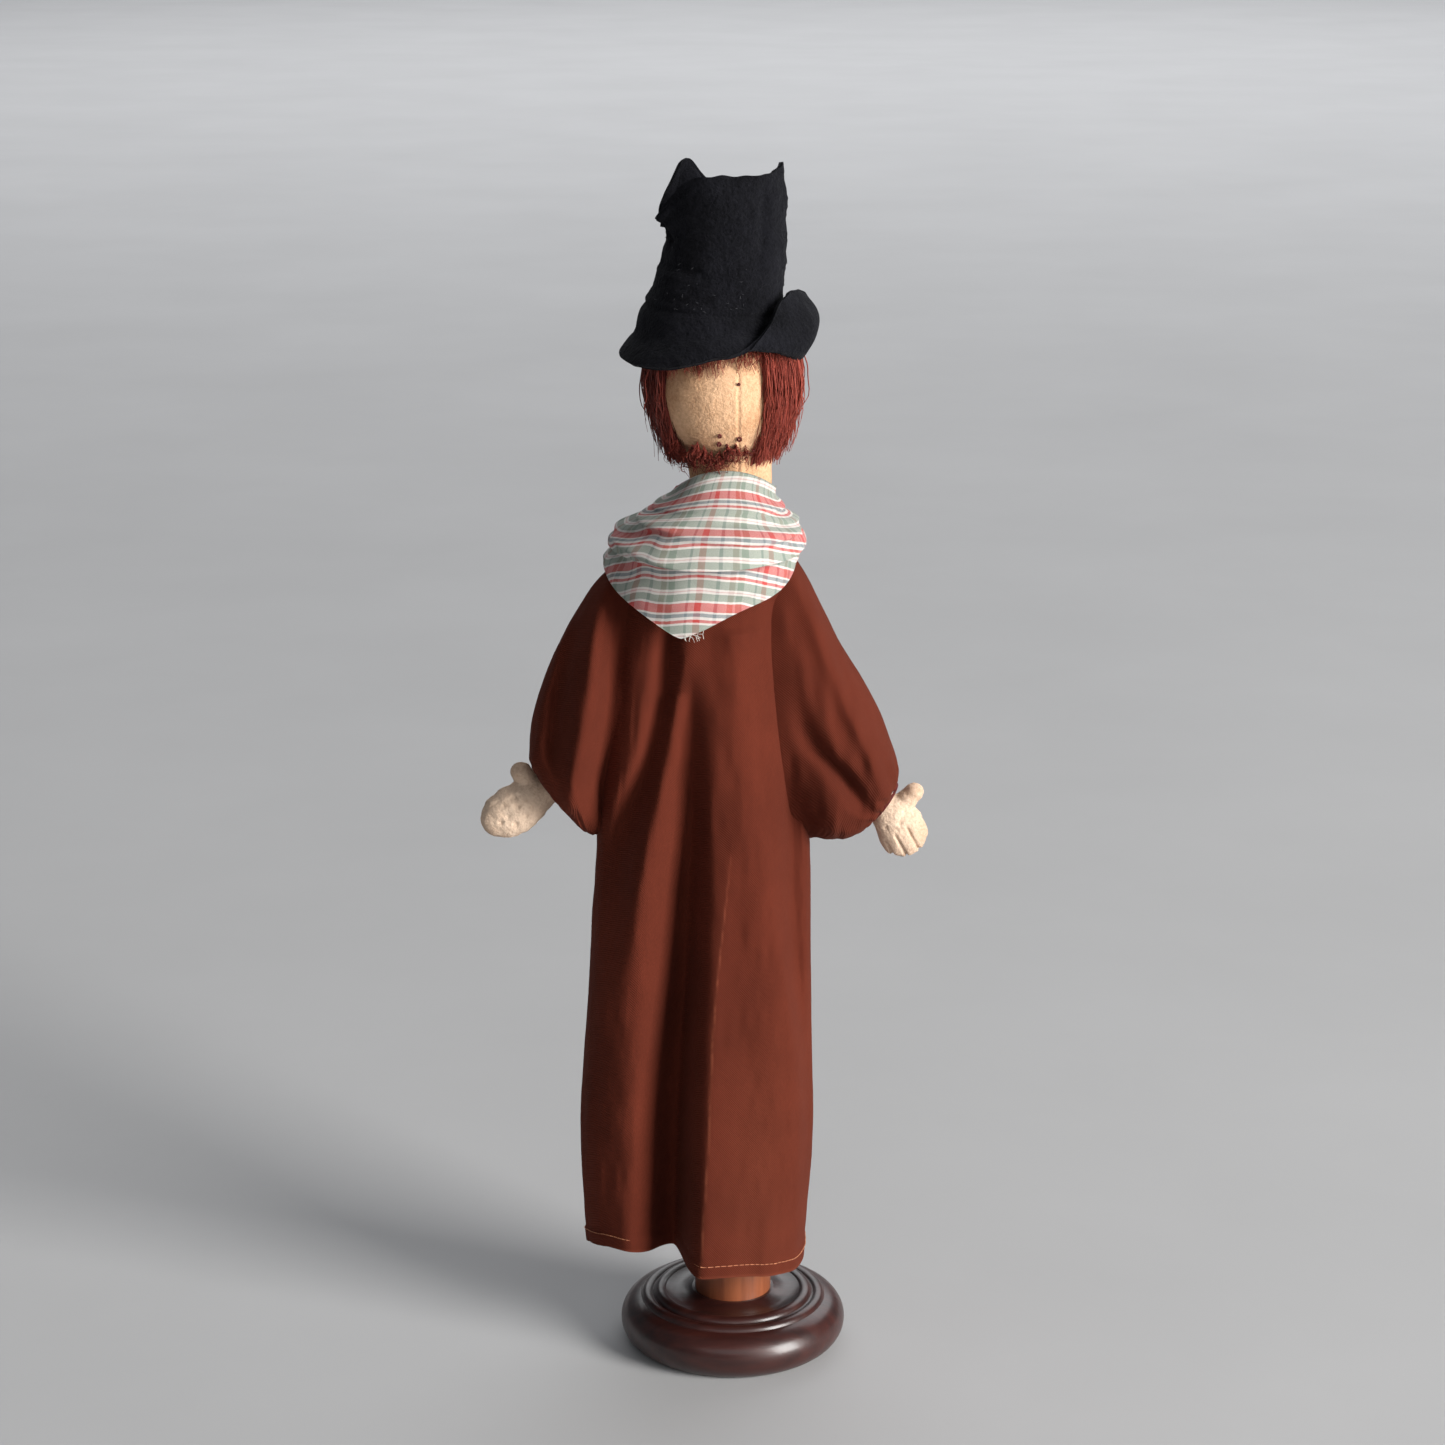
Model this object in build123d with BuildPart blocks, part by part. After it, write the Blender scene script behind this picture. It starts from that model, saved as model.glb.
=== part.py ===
"""Glove puppet on a turned wooden display stand, in millimetres.

A felt-headed hand puppet in a long cotton robe, with a tall felt hat and a checked neckerchief, is
slipped over a round wooden post. A peg on top of the post stands in the card finger tube in its neck.
Origin: centre of the stand's underside. +Z is up, +Y is the way the puppet faces, and -X is its left.
"""

from build123d import *
from math import cos, exp, hypot, pi, radians, sin
import os

# ------------------------------------------------------------------ driving dimensions
# Stand
base_radius = 46.8
base_height = 22.3
baize_radius = 38.0
baize_thickness = 1.5
baize_proud = 0.7  # how far the baize stands below the wood
post_radius = 15.8
post_shoulder_z = 334.0
peg_radius = 9.8
peg_top_z = 398.0
tenon_radius = 9.0
tenon_length = 12.0
screw_shank_radius = 2.0
screw_head_radius = 4.2
screw_length = 30.0

# Clearances
glue_gap = 0.05  # pieces glued or driven together
cloth_gap = 0.5  # cloth lying on cloth
lift_clearance = 1.5  # neckline over the post
tube_clearance = 0.4  # finger tube over the peg
turn_clearance = 0.8  # felt neck inside the neckline

# Robe
cloth = 1.0
hem_z = 40.0
underarm_z = 219.5
neckline_z = 352.0
robe_centre_x = -12.0
robe_half_width = 43.0
robe_half_depth = 31.0
armhole_half_width = 36.0  # from the robe's centre to each armhole
valley_beside_post = 5.7  # the deep fold down the back hangs this far clear of the post

# Neck and head
card = 1.2
felt = 1.2
tube_bottom_z = 346.0
tube_top_z = 402.0
head_centre = (-4.0, 0.0, 407.0)
head_radius = 27.5
head_half_height = 34.5
back_seam_x = 2.0
eye_radius = 2.3
eye_z = 413.0
hair_thickness = 4.0

# Hat
hat_felt = 1.6
crown_bottom_z = 433.0
crown_top_z = 489.0
hat_centre_x = -7.0
brim_edge_z = 417.0
brim_reach_sideways = 11.5  # how far the brim stands out from the crown
brim_reach_behind = 13.5

# Sleeves and hands
shoulder_z = 329.0
sleeve_end_radius = 11.5
wrist_drop = 40.0  # degrees below the horizontal, at the sleeve's end
wrist_out = {"left": 25.0, "right": 36.0}  # wrist centre outside the armhole
wrist_z = {"left": 240.3, "right": 234.0}
palm_start = 5.0  # from the wrist's centre to the palm
palm_length = 27.0
palm_half_width = 11.0
palm_half_thickness = 6.5
wrist_radius = 7.6
wrist_inside = 3.0  # how far the wrist reaches into the sleeve
thumb_radius = 4.2
hand_angle = {"left": 30.0, "right": 62.0}  # degrees below the horizontal

# ------------------------------------------------------------------ worked-out sizes
neckline_inner_radius = post_radius + lift_clearance
neckline_outer_radius = neckline_inner_radius + cloth
neck_radius = neckline_inner_radius - turn_clearance
tube_inner_radius = peg_radius + tube_clearance
tube_outer_radius = tube_inner_radius + card
boss_radius = post_radius + 1.2
seat_z = base_height - 0.1
valley_x = -(neckline_inner_radius + valley_beside_post)
crown_opening_radius = head_radius - 1.0
brim_half_width = crown_opening_radius + brim_reach_sideways
brim_half_depth = crown_opening_radius + brim_reach_behind


# ------------------------------------------------------------------ stand
foot_z = baize_proud
recess_radius = baize_radius + 0.4
with BuildPart() as stand_base:
    with BuildSketch(Plane.XZ):
        with BuildLine():
            Polyline(
                (0, seat_z),
                (0, baize_thickness),
                (recess_radius, baize_thickness),
                (recess_radius, foot_z),
                (base_radius - 4.8, foot_z),
            )
            ThreePointArc(
                (base_radius - 4.8, foot_z),
                (base_radius, base_height * 0.42),
                (base_radius - 7.6, base_height - 3.7),
            )
            Line((base_radius - 7.6, base_height - 3.7), (base_radius - 8.4, base_height - 3.5))
            ThreePointArc(
                (base_radius - 8.4, base_height - 3.5),
                (base_radius - 10.9, base_height - 1.4),
                (base_radius - 13.2, base_height - 2.4),
            )
            Line((base_radius - 13.2, base_height - 2.4), (base_radius - 13.8, base_height - 2.1))
            ThreePointArc(
                (base_radius - 13.8, base_height - 2.1),
                (base_radius - 16.4, base_height),
                (base_radius - 18.8, base_height - 0.9),
            )
            ThreePointArc(
                (base_radius - 18.8, base_height - 0.9),
                ((base_radius - 18.8 + boss_radius) / 2, base_height - 1.8),
                (boss_radius, seat_z),
            )
            Line((boss_radius, seat_z), (0, seat_z))
        make_face()
    revolve(axis=Axis.Z)
    with Locations((0, 0, seat_z)):
        Hole(tenon_radius + glue_gap, depth=tenon_length + glue_gap)
    with Locations(Location((0, 0, baize_thickness), (180, 0, 0))):
        CounterSinkHole(screw_shank_radius + glue_gap, screw_head_radius + glue_gap, depth=seat_z)

with BuildPart() as base_baize:
    Cylinder(
        baize_radius,
        baize_thickness - glue_gap,
        align=(Align.CENTER, Align.CENTER, Align.MIN),
    )

screw_head_z = baize_thickness
screw_head_height = screw_head_radius - screw_shank_radius
screw_tip_z = screw_head_z + screw_length
with BuildPart() as post:
    with BuildSketch(Plane.XZ):
        with BuildLine():
            Polyline(
                (0, peg_top_z),
                (0, seat_z - tenon_length),
                (tenon_radius, seat_z - tenon_length),
                (tenon_radius, seat_z),
                (post_radius, seat_z),
                (post_radius, post_shoulder_z - 2),
            )
            ThreePointArc(
                (post_radius, post_shoulder_z - 2),
                (post_radius - 0.6, post_shoulder_z - 0.6),
                (post_radius - 2, post_shoulder_z),
            )
            Polyline(
                (post_radius - 2, post_shoulder_z),
                (peg_radius, post_shoulder_z + 6),
                (peg_radius, peg_top_z - 2.5),
                (peg_radius - 2.5, peg_top_z),
                (0, peg_top_z),
            )
        make_face()
    revolve(axis=Axis.Z)
    with Locations(Location((0, 0, seat_z - tenon_length), (180, 0, 0))):
        Hole(screw_shank_radius + glue_gap, depth=screw_tip_z - seat_z + tenon_length + 0.5)

with BuildPart() as post_screw:
    with BuildSketch(Plane.XZ):
        with BuildLine():
            Polyline(
                (0, screw_head_z + 0.05),
                (screw_head_radius - 0.05, screw_head_z + 0.05),
                (screw_shank_radius, screw_head_z + screw_head_height),
                (screw_shank_radius, screw_tip_z - 4),
                (0, screw_tip_z),
                close=True,
            )
        make_face()
    revolve(axis=Axis.Z)
    with Locations((0, 0, screw_head_z)):
        Box(2 * screw_head_radius, 0.9, 2.2, mode=Mode.SUBTRACT)

# ------------------------------------------------------------------ card finger tube
with BuildPart() as neck_tube:
    with Locations((0, 0, tube_bottom_z)):
        Cylinder(
            tube_outer_radius,
            tube_top_z - tube_bottom_z,
            align=(Align.CENTER, Align.CENTER, Align.MIN),
        )
        Cylinder(
            tube_inner_radius,
            tube_top_z - tube_bottom_z,
            align=(Align.CENTER, Align.CENTER, Align.MIN),
            mode=Mode.SUBTRACT,
        )

# ------------------------------------------------------------------ robe
# Height, centre x, half width, half depth, depth of the back fold, setback of its left lobe
robe_sections = [
    (hem_z, robe_centre_x - 2.0, robe_half_width + 4.0, robe_half_depth + 5.0, 32.0, 12.0),
    (130.0, robe_centre_x - 1.0, robe_half_width + 2.5, robe_half_depth + 3.0, 25.0, 9.0),
    (underarm_z, robe_centre_x, robe_half_width, robe_half_depth, 14.0, 5.0),
    (290.0, robe_centre_x + 0.5, robe_half_width - 4.5, robe_half_depth - 4.0, 6.0, 2.0),
    (328.0, robe_centre_x + 3.0, robe_half_width - 11.0, robe_half_depth - 8.0, 2.0, 0.0),
    (344.0, -3.0, neckline_outer_radius + 3.7, neckline_outer_radius + 1.7, 0.0, 0.0),
    (neckline_z, 0.0, neckline_outer_radius, neckline_outer_radius, 0.0, 0.0),
]
robe_edge_points = 20
valley_left, valley_right = 13.0, 9.0  # how wide each side of the back fold is
lobe_width = 16.0


def robe_point(section, turn):
    """Where the robe's outside is at this share of a turn, seen from above."""
    _, centre_x, half_width, half_depth, fold, setback = section
    x = centre_x + half_width * cos(2 * pi * turn)
    y = half_depth * sin(2 * pi * turn)
    if y < 0:
        side = valley_left if x < valley_x else valley_right
        y += fold * exp(-(((x - valley_x) / side) ** 2))
        lobe_x = centre_x - half_width + lobe_width
        lobe = exp(-(((x - lobe_x) / lobe_width) ** 2))
        y += setback * lobe * min(1.0, -y / setback) if setback else 0.0
    return x, y


def robe_edge(section, inset, first_turn):
    """Half of the robe's outline at one height, moved inwards by inset, from side seam to side seam."""
    points = []
    for i in range(robe_edge_points + 1):
        turn = first_turn + 0.5 * i / robe_edge_points
        x, y = robe_point(section, turn)
        ahead, behind = robe_point(section, turn + 0.002), robe_point(section, turn - 0.002)
        dx, dy = ahead[0] - behind[0], ahead[1] - behind[1]
        points.append((x - inset * dy / hypot(dx, dy), y + inset * dx / hypot(dx, dy)))
    for end in (0, -1):
        towards_middle = inset if points[end][0] < section[1] else -inset
        points[end] = (robe_point(section, first_turn + (0 if end == 0 else 0.5))[0] + towards_middle, 0)
    return points


def robe_half(first_turn):
    """The front or the back of the robe as a wall of cloth."""
    with BuildPart() as half:
        for section in robe_sections:
            with BuildSketch(Plane.XY.offset(section[0])):
                outside = robe_edge(section, 0.0, first_turn)
                inside = robe_edge(section, cloth, first_turn)
                with BuildLine():
                    Spline(*outside)
                    Line(outside[-1], inside[-1])
                    Spline(*reversed(inside))
                    Line(inside[0], outside[0])
                make_face()
        loft(ruled=True)
    return half.part


armhole_x = {
    "left": robe_centre_x - armhole_half_width,
    "right": robe_centre_x + armhole_half_width,
}
armhole_top_z = shoulder_z + 3.0


def robe_panel(first_turn):
    """One half of the robe with its armholes cut."""
    with BuildPart() as panel:
        add(robe_half(first_turn))
        for side, inward in (("left", -1), ("right", 1)):
            with Locations((armhole_x[side] + inward * (50 - cloth_gap), 0, underarm_z)):
                Box(
                    100,
                    4 * robe_half_depth,
                    armhole_top_z - underarm_z,
                    align=(Align.CENTER, Align.CENTER, Align.MIN),
                    mode=Mode.SUBTRACT,
                )
    return panel.part


robe_front_part, robe_back_part = robe_panel(0.0), robe_panel(0.5)


def oval(half_width, half_depth, centre_x=0.0):
    """Points round an ellipse, always starting on the same side so that lofts do not twist."""
    turns = [2 * pi * i / 16 for i in range(16)]
    return [(centre_x + half_width * cos(t), half_depth * sin(t)) for t in turns]


def oval_loft(sections, inset):
    """Lofts ovals given as height, centre x, half width and half depth, moved inwards by inset."""
    with BuildPart() as body:
        for height, centre_x, half_width, half_depth in sections:
            with BuildSketch(Plane.XY.offset(height)):
                with BuildLine():
                    Spline(*oval(half_width - inset, half_depth - inset, centre_x), periodic=True)
                make_face()
        loft()
    return body.part


# ------------------------------------------------------------------ neckerchief
# Height, centre x, half width, half depth of its outside
drape_sections = [
    (shoulder_z - 17.0, robe_centre_x, robe_half_width - 2.0, robe_half_depth + 8.0),
    (shoulder_z + 2.0, robe_centre_x + 0.5, robe_half_width - 3.0, robe_half_depth + 4.0),
    (shoulder_z + 14.0, robe_centre_x + 1.2, robe_half_width - 5.5, robe_half_depth),
    (shoulder_z + 24.0, -8.0, neckline_outer_radius + 13.0, neckline_outer_radius + 8.5),
    (shoulder_z + 36.0, -3.0, neckline_outer_radius + 4.0, neckline_outer_radius + 3.5),
]
kerchief_wall = 1.6
band_inner_radius = neckline_inner_radius + 0.1
band_thickness = 2.8
band_bottom_z = neckline_z + 2.0
band_top_z = 373.0
knot_y = robe_half_depth + 1.0
knot_z = shoulder_z + 24.0


drape_outer = oval_loft(drape_sections, 0.0)
drape_inner = oval_loft(drape_sections, kerchief_wall)
tip_x, tip_z = -19.0, shoulder_z - 12.0
side_z = shoulder_z + cloth_gap + 2.0
with BuildPart() as kerchief_drape:
    add(drape_outer)
    add(drape_inner, mode=Mode.SUBTRACT)
    with BuildSketch(Plane.XZ) as below_back_edge:
        Polygon(
            (armhole_x["left"] - 30, side_z),
            (armhole_x["left"] + 2, side_z),
            (tip_x - 3, tip_z),
            (tip_x + 3, tip_z),
            (armhole_x["right"] - 2, side_z),
            (armhole_x["right"] + 30, side_z),
            (armhole_x["right"] + 30, shoulder_z - 40),
            (armhole_x["left"] - 30, shoulder_z - 40),
            align=None,
        )
    extrude(amount=100, mode=Mode.SUBTRACT)
    with Locations((robe_centre_x, 50, side_z + 4)):
        Box(200, 100, 100, align=(Align.CENTER, Align.CENTER, Align.MAX), mode=Mode.SUBTRACT)
with BuildPart() as knot:
    Box(12, 11, 10)
    fillet(knot.edges(), 3.0)
with BuildPart() as neckerchief:
    add(kerchief_drape.part)
    with Locations((0, 0, band_bottom_z)):
        Cylinder(
            band_inner_radius + band_thickness,
            band_top_z - band_bottom_z,
            align=(Align.CENTER, Align.CENTER, Align.MIN),
        )
    with Locations((0, 0, band_bottom_z - 3)):
        Cylinder(
            band_inner_radius,
            band_top_z - band_bottom_z + 6,
            align=(Align.CENTER, Align.CENTER, Align.MIN),
            mode=Mode.SUBTRACT,
        )
    add(knot.part.moved(Location((-6, knot_y - 2, knot_z))))
    for sideways in (-1, 1):
        with BuildSketch(Plane.XZ.offset(-knot_y - 1.5)):
            Polygon(
                (-6 + sideways * 2, knot_z + 2),
                (-6 + sideways * 26, knot_z - 26),
                (-6 + sideways * 11, knot_z - 31),
                (-6 - sideways * 1, knot_z - 3),
                align=None,
            )
        extrude(amount=-kerchief_wall)

# ------------------------------------------------------------------ head
def head_solid(inset):
    """The head and neck, every face moved inwards by inset. A negative inset grows it."""
    x, y, z = head_centre
    with BuildPart() as solid:
        with BuildSketch(Plane.XZ):
            with Locations((0, z)):
                Ellipse(head_radius - inset, head_half_height - inset)
            with Locations((-100, z)):
                Rectangle(200, 300, mode=Mode.SUBTRACT)
        revolve(axis=Axis.Z)
    ball = solid.part.moved(Location((x, y, 0)))
    with BuildPart() as whole:
        add(ball)
        with Locations((0, 0, tube_bottom_z)):
            Cylinder(
                neck_radius - inset,
                z - tube_bottom_z,
                align=(Align.CENTER, Align.CENTER, Align.MIN),
            )
    return whole.part


head_outer = head_solid(0.0)
head_lining = head_solid(felt)
stuffing_gap = 0.2
with BuildPart() as head_felt:
    add(head_outer)
    add(head_lining, mode=Mode.SUBTRACT)
head_felt_left_part = split(head_felt.part, bisect_by=Plane.YZ.offset(back_seam_x), keep=Keep.BOTTOM)
head_felt_right_part = split(head_felt.part, bisect_by=Plane.YZ.offset(back_seam_x), keep=Keep.TOP)

with BuildPart() as head_stuffing:
    add(head_solid(felt + stuffing_gap))
    with Locations((0, 0, tube_bottom_z - 1)):
        Cylinder(
            tube_outer_radius + 0.1,
            tube_top_z - tube_bottom_z + 1.2,
            align=(Align.CENTER, Align.CENTER, Align.MIN),
            mode=Mode.SUBTRACT,
        )

skin_gap = 0.2
over_skin = head_solid(-skin_gap)
face_y = head_radius
with BuildPart() as nose:
    with Locations((head_centre[0], face_y + 2.5, head_centre[2] - 3)):
        Sphere(5.2)
    add(over_skin, mode=Mode.SUBTRACT)


def eye(sideways):
    """A flat-backed bead sewn to the face."""
    with BuildPart() as bead:
        with Locations((head_centre[0] + sideways * 9.5, face_y - 2.0, eye_z)):
            Sphere(eye_radius)
        add(over_skin, mode=Mode.SUBTRACT)
    return bead.part


with BuildPart() as mouth:
    with BuildSketch(Plane.XZ.offset(-face_y + 14)):
        with Locations((head_centre[0], head_centre[2] - 14)):
            SlotOverall(15, 3.2)
    extrude(amount=-20)
    add(head_solid(-skin_gap - 0.9), mode=Mode.INTERSECT)
    add(over_skin, mode=Mode.SUBTRACT)

# ------------------------------------------------------------------ hat
# Height, centre x, half width and half depth of the crown's outside
crown_sections = [
    (crown_bottom_z, hat_centre_x, crown_opening_radius, crown_opening_radius),
    (crown_bottom_z + 12, hat_centre_x + 1.0, crown_opening_radius - 1.3, crown_opening_radius - 1.5),
    (crown_bottom_z + 28, hat_centre_x + 4.0, crown_opening_radius - 2.5, crown_opening_radius - 3.5),
    (crown_bottom_z + 42, hat_centre_x + 3.5, crown_opening_radius - 2.3, crown_opening_radius - 4.5),
    (crown_top_z, hat_centre_x + 6.0, crown_opening_radius - 6.0, crown_opening_radius - 7.0),
]
brim_sections = [
    (brim_edge_z, hat_centre_x, brim_half_width, brim_half_depth),
    (crown_bottom_z - 0.3, hat_centre_x, crown_opening_radius + 0.5, crown_opening_radius + 0.5),
]
crown_outer = oval_loft(crown_sections, 0.0)
crown_inner = oval_loft(crown_sections, hat_felt)
with BuildPart() as hat_crown:
    add(crown_outer)
    add(crown_inner, mode=Mode.SUBTRACT)
top_drop = 4.0  # the top disc is sewn in below the crown's edge
with BuildPart() as hat_top:
    add(oval_loft(crown_sections, hat_felt + stuffing_gap))
    with Locations((0, 0, crown_top_z - top_drop)):
        Box(200, 200, 200, align=(Align.CENTER, Align.CENTER, Align.MIN), mode=Mode.SUBTRACT)
    with Locations((0, 0, crown_top_z - top_drop - hat_felt)):
        Box(200, 200, 200, align=(Align.CENTER, Align.CENTER, Align.MAX), mode=Mode.SUBTRACT)
brim_outer = oval_loft(brim_sections, 0.0)
brim_inner = oval_loft(brim_sections, hat_felt)
with BuildPart() as hat_brim:
    add(brim_outer)
    add(brim_inner, mode=Mode.SUBTRACT)

# ------------------------------------------------------------------ hair
hair_top_z = crown_bottom_z - 9.0
with BuildPart() as hair_layer:
    add(head_solid(-hair_thickness))
    add(over_skin, mode=Mode.SUBTRACT)


def lock_of_hair(low, high):
    """The hair lying between two opposite corners of a box."""
    size = [b - a for a, b in zip(low, high)]
    middle = [(a + b) / 2 for a, b in zip(low, high)]
    with BuildPart() as lock:
        add(hair_layer.part)
        with Locations(tuple(middle)):
            Box(*size, mode=Mode.INTERSECT)
    return lock.part


hair_left_part = lock_of_hair((-60, -24, 377), (-25, 24, hair_top_z))
hair_right_part = lock_of_hair((13, -24, 377), (60, 24, hair_top_z))
hair_nape_part = lock_of_hair((-24, -60, 376), (5, -12, 386))
hair_front_part = lock_of_hair((-24, 14, eye_z + eye_radius + 1.0), (12, 60, hair_top_z))
with BuildPart() as hair_crown:
    with Locations((hat_centre_x, 0, crown_bottom_z - 3.5)):
        Cylinder(
            crown_opening_radius - hat_felt - 1.9,
            10.5,
            align=(Align.CENTER, Align.CENTER, Align.MIN),
        )
    add(over_skin, mode=Mode.SUBTRACT)

# ------------------------------------------------------------------ sleeves
def sleeve_plane(side, out, height, tilt):
    """A plane across the sleeve, its X axis along Y and its Y axis up the sleeve."""
    outward = -1 if side == "left" else 1
    across = Vector(outward * cos(radians(tilt)), 0, -sin(radians(tilt)))
    return Plane(
        origin=(armhole_x[side] + outward * out, 0, height),
        x_dir=(0, -outward, 0),
        z_dir=across,
    )


sleeve_height = shoulder_z - underarm_z - 3.0


def sleeve_loft(side, inset):
    """The sleeve as a solid, every face but its ends moved inwards by inset."""
    # Distance out, height, tilt, half height and half depth of the sleeve's outside
    sections = [
        (0.0, shoulder_z - sleeve_height / 2, 0.0, sleeve_height / 2, 17.0),
        (wrist_out[side] * 0.56, shoulder_z - 67.0, 9.0, 37.0, 19.0),
        (wrist_out[side], wrist_z[side], wrist_drop, sleeve_end_radius, sleeve_end_radius),
    ]
    with BuildPart() as body:
        for out, height, tilt, half_height, half_depth in sections:
            with BuildSketch(sleeve_plane(side, out, height, tilt)):
                with BuildLine():
                    Spline(*oval(half_depth - inset, half_height - inset), periodic=True)
                make_face()
        loft()
    return body.part


def sleeve(side):
    outer, inner = sleeve_loft(side, 0.0), sleeve_loft(side, cloth)
    with BuildPart() as body:
        add(outer)
        add(inner, mode=Mode.SUBTRACT)
    return body.part


def gathering_thread(side):
    """The drawn thread that closes the sleeve's end round the wrist."""
    with BuildPart() as ring:
        plane = sleeve_plane(side, wrist_out[side], wrist_z[side], wrist_drop)
        with BuildSketch(plane.offset(glue_gap)):
            Circle(sleeve_end_radius + 0.4)
            Circle(sleeve_end_radius - 0.6, mode=Mode.SUBTRACT)
        extrude(amount=1.0)
    return ring.part


# ------------------------------------------------------------------ hands
def hand_plane(side):
    """The hand's own frame at the wrist: X towards the fingers, Y towards the thumb."""
    outward = -1 if side == "left" else 1
    drop = radians(hand_angle[side])
    along = Vector(outward * cos(drop), 0, -sin(drop))
    thumb = Vector(outward * sin(drop), 0, cos(drop))
    centre = sleeve_plane(side, wrist_out[side], wrist_z[side], wrist_drop).origin
    return Plane(origin=centre, x_dir=along, z_dir=along.cross(thumb))


thumb_root, thumb_tip = Vector(14.0, 3.0), Vector(11.5, 12.0)


# Distance from the wrist's centre, half width and half thickness of the mitten's outside
mitten_sections = [
    (-wrist_inside, wrist_radius, palm_half_thickness - 0.5),
    (palm_start, wrist_radius + 0.3, palm_half_thickness),
    (palm_start + palm_length * 0.3, palm_half_width - 0.5, palm_half_thickness),
    (palm_start + palm_length * 0.65, palm_half_width, palm_half_thickness - 0.3),
    (palm_start + palm_length * 0.9, palm_half_width - 2.5, palm_half_thickness - 1.7),
    (palm_start + palm_length, palm_half_width - 6.0, palm_half_thickness - 3.5),
]


def mitten(side, inset):
    """A stuffed mitten, every face but its wrist end moved inwards by inset."""
    with BuildPart() as solid:
        for distance, half_width, half_thickness in mitten_sections:
            last = distance > palm_start + palm_length - 1
            with BuildSketch(Plane.YZ.offset(distance - (inset if last else 0))):
                with BuildLine():
                    Spline(*oval(half_width - inset, half_thickness - inset), periodic=True)
                make_face()
        loft()
        with BuildSketch(Plane(origin=thumb_root, z_dir=thumb_tip - thumb_root)):
            Circle(thumb_radius - inset)
        extrude(amount=(thumb_tip - thumb_root).length)
        with Locations(thumb_tip):
            Sphere(thumb_radius - inset)
    return solid.part.moved(hand_plane(side).location)


def hand(side):
    """The palm felt, the back felt and the filling of one hand."""
    outer, lining, filling = mitten(side, 0.0), mitten(side, felt), mitten(side, felt + stuffing_gap)
    with BuildPart() as shell:
        add(outer)
        add(lining, mode=Mode.SUBTRACT)
    halves = [
        split(shell.part, bisect_by=Plane.XZ, keep=Keep.TOP),
        split(shell.part, bisect_by=Plane.XZ, keep=Keep.BOTTOM),
    ]
    halves.sort(key=lambda half: half.center().Y)
    return halves[1], halves[0], filling


# ------------------------------------------------------------------ export
pieces = {
    "stand_base": stand_base.part,
    "base_baize": base_baize.part,
    "post": post.part,
    "post_screw": post_screw.part,
    "neck_tube": neck_tube.part,
    "robe_back": robe_back_part,
    "robe_front": robe_front_part,
    "neckerchief": neckerchief.part,
    "head_felt_left": head_felt_left_part,
    "head_felt_right": head_felt_right_part,
    "head_stuffing": head_stuffing.part,
    "nose": nose.part,
    "eye_left": eye(-1),
    "eye_right": eye(1),
    "mouth": mouth.part,
    "hair_left": hair_left_part,
    "hair_right": hair_right_part,
    "hair_nape": hair_nape_part,
    "hair_front": hair_front_part,
    "hair_crown": hair_crown.part,
    "hat_crown": hat_crown.part,
    "hat_top": hat_top.part,
    "hat_brim": hat_brim.part,
}
for side in ("left", "right"):
    pieces[f"sleeve_{side}"] = sleeve(side)
    pieces[f"gathering_thread_{side}"] = gathering_thread(side)
    palm_felt, back_felt, filling = hand(side)
    pieces[f"hand_{side}_palm_felt"] = palm_felt
    pieces[f"hand_{side}_back_felt"] = back_felt
    pieces[f"hand_{side}_stuffing"] = filling

os.makedirs("parts", exist_ok=True)
for label, piece in pieces.items():
    piece.label = label
    export_step(piece, f"parts/{label}.step")
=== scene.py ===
"""Looks for the glove puppet on its stand: cloth, felt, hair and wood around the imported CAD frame."""

import math

import bpy
import numpy as np
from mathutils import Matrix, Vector


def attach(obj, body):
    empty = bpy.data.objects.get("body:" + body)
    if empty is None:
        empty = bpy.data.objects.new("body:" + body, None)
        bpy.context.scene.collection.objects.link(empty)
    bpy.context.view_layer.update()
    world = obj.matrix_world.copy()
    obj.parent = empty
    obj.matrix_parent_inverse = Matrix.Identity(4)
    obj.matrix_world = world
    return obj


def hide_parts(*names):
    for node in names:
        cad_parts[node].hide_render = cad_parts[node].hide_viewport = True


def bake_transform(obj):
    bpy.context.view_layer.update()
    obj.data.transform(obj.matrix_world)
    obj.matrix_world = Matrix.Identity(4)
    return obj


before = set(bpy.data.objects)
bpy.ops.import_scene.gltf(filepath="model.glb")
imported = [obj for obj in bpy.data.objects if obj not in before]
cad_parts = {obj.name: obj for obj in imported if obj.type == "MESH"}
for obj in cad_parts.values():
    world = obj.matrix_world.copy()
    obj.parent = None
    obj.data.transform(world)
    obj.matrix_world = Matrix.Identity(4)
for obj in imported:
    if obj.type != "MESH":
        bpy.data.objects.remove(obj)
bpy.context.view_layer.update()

MM = 0.001
rng = np.random.RandomState(7)


# ---- numbers and noise
def curve_through(x, keys):
    """Smooth curves through rows (key, value, value, ...), read at x; one array per column of values."""
    keys = np.array(sorted(keys), float)
    k, v = keys[:, 0], keys[:, 1:]
    x = np.clip(np.asarray(x, float), k[0], k[-1])
    i = np.clip(np.searchsorted(k, x, side="right") - 1, 0, len(k) - 2)
    slope = np.gradient(v, k, axis=0) if len(k) > 2 else np.repeat((v[1:] - v[:-1]) / (k[1] - k[0]), 2, 0)
    h = (k[i + 1] - k[i])[..., None]
    t = ((x - k[i])[..., None]) / h
    a = (1 + 2 * t) * (1 - t) ** 2 * v[i] + t * (1 - t) ** 2 * h * slope[i]
    b = t * t * (3 - 2 * t) * v[i + 1] + t * t * (t - 1) * h * slope[i + 1]
    out = a + b
    return [out[..., c] for c in range(out.shape[-1])]


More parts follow.
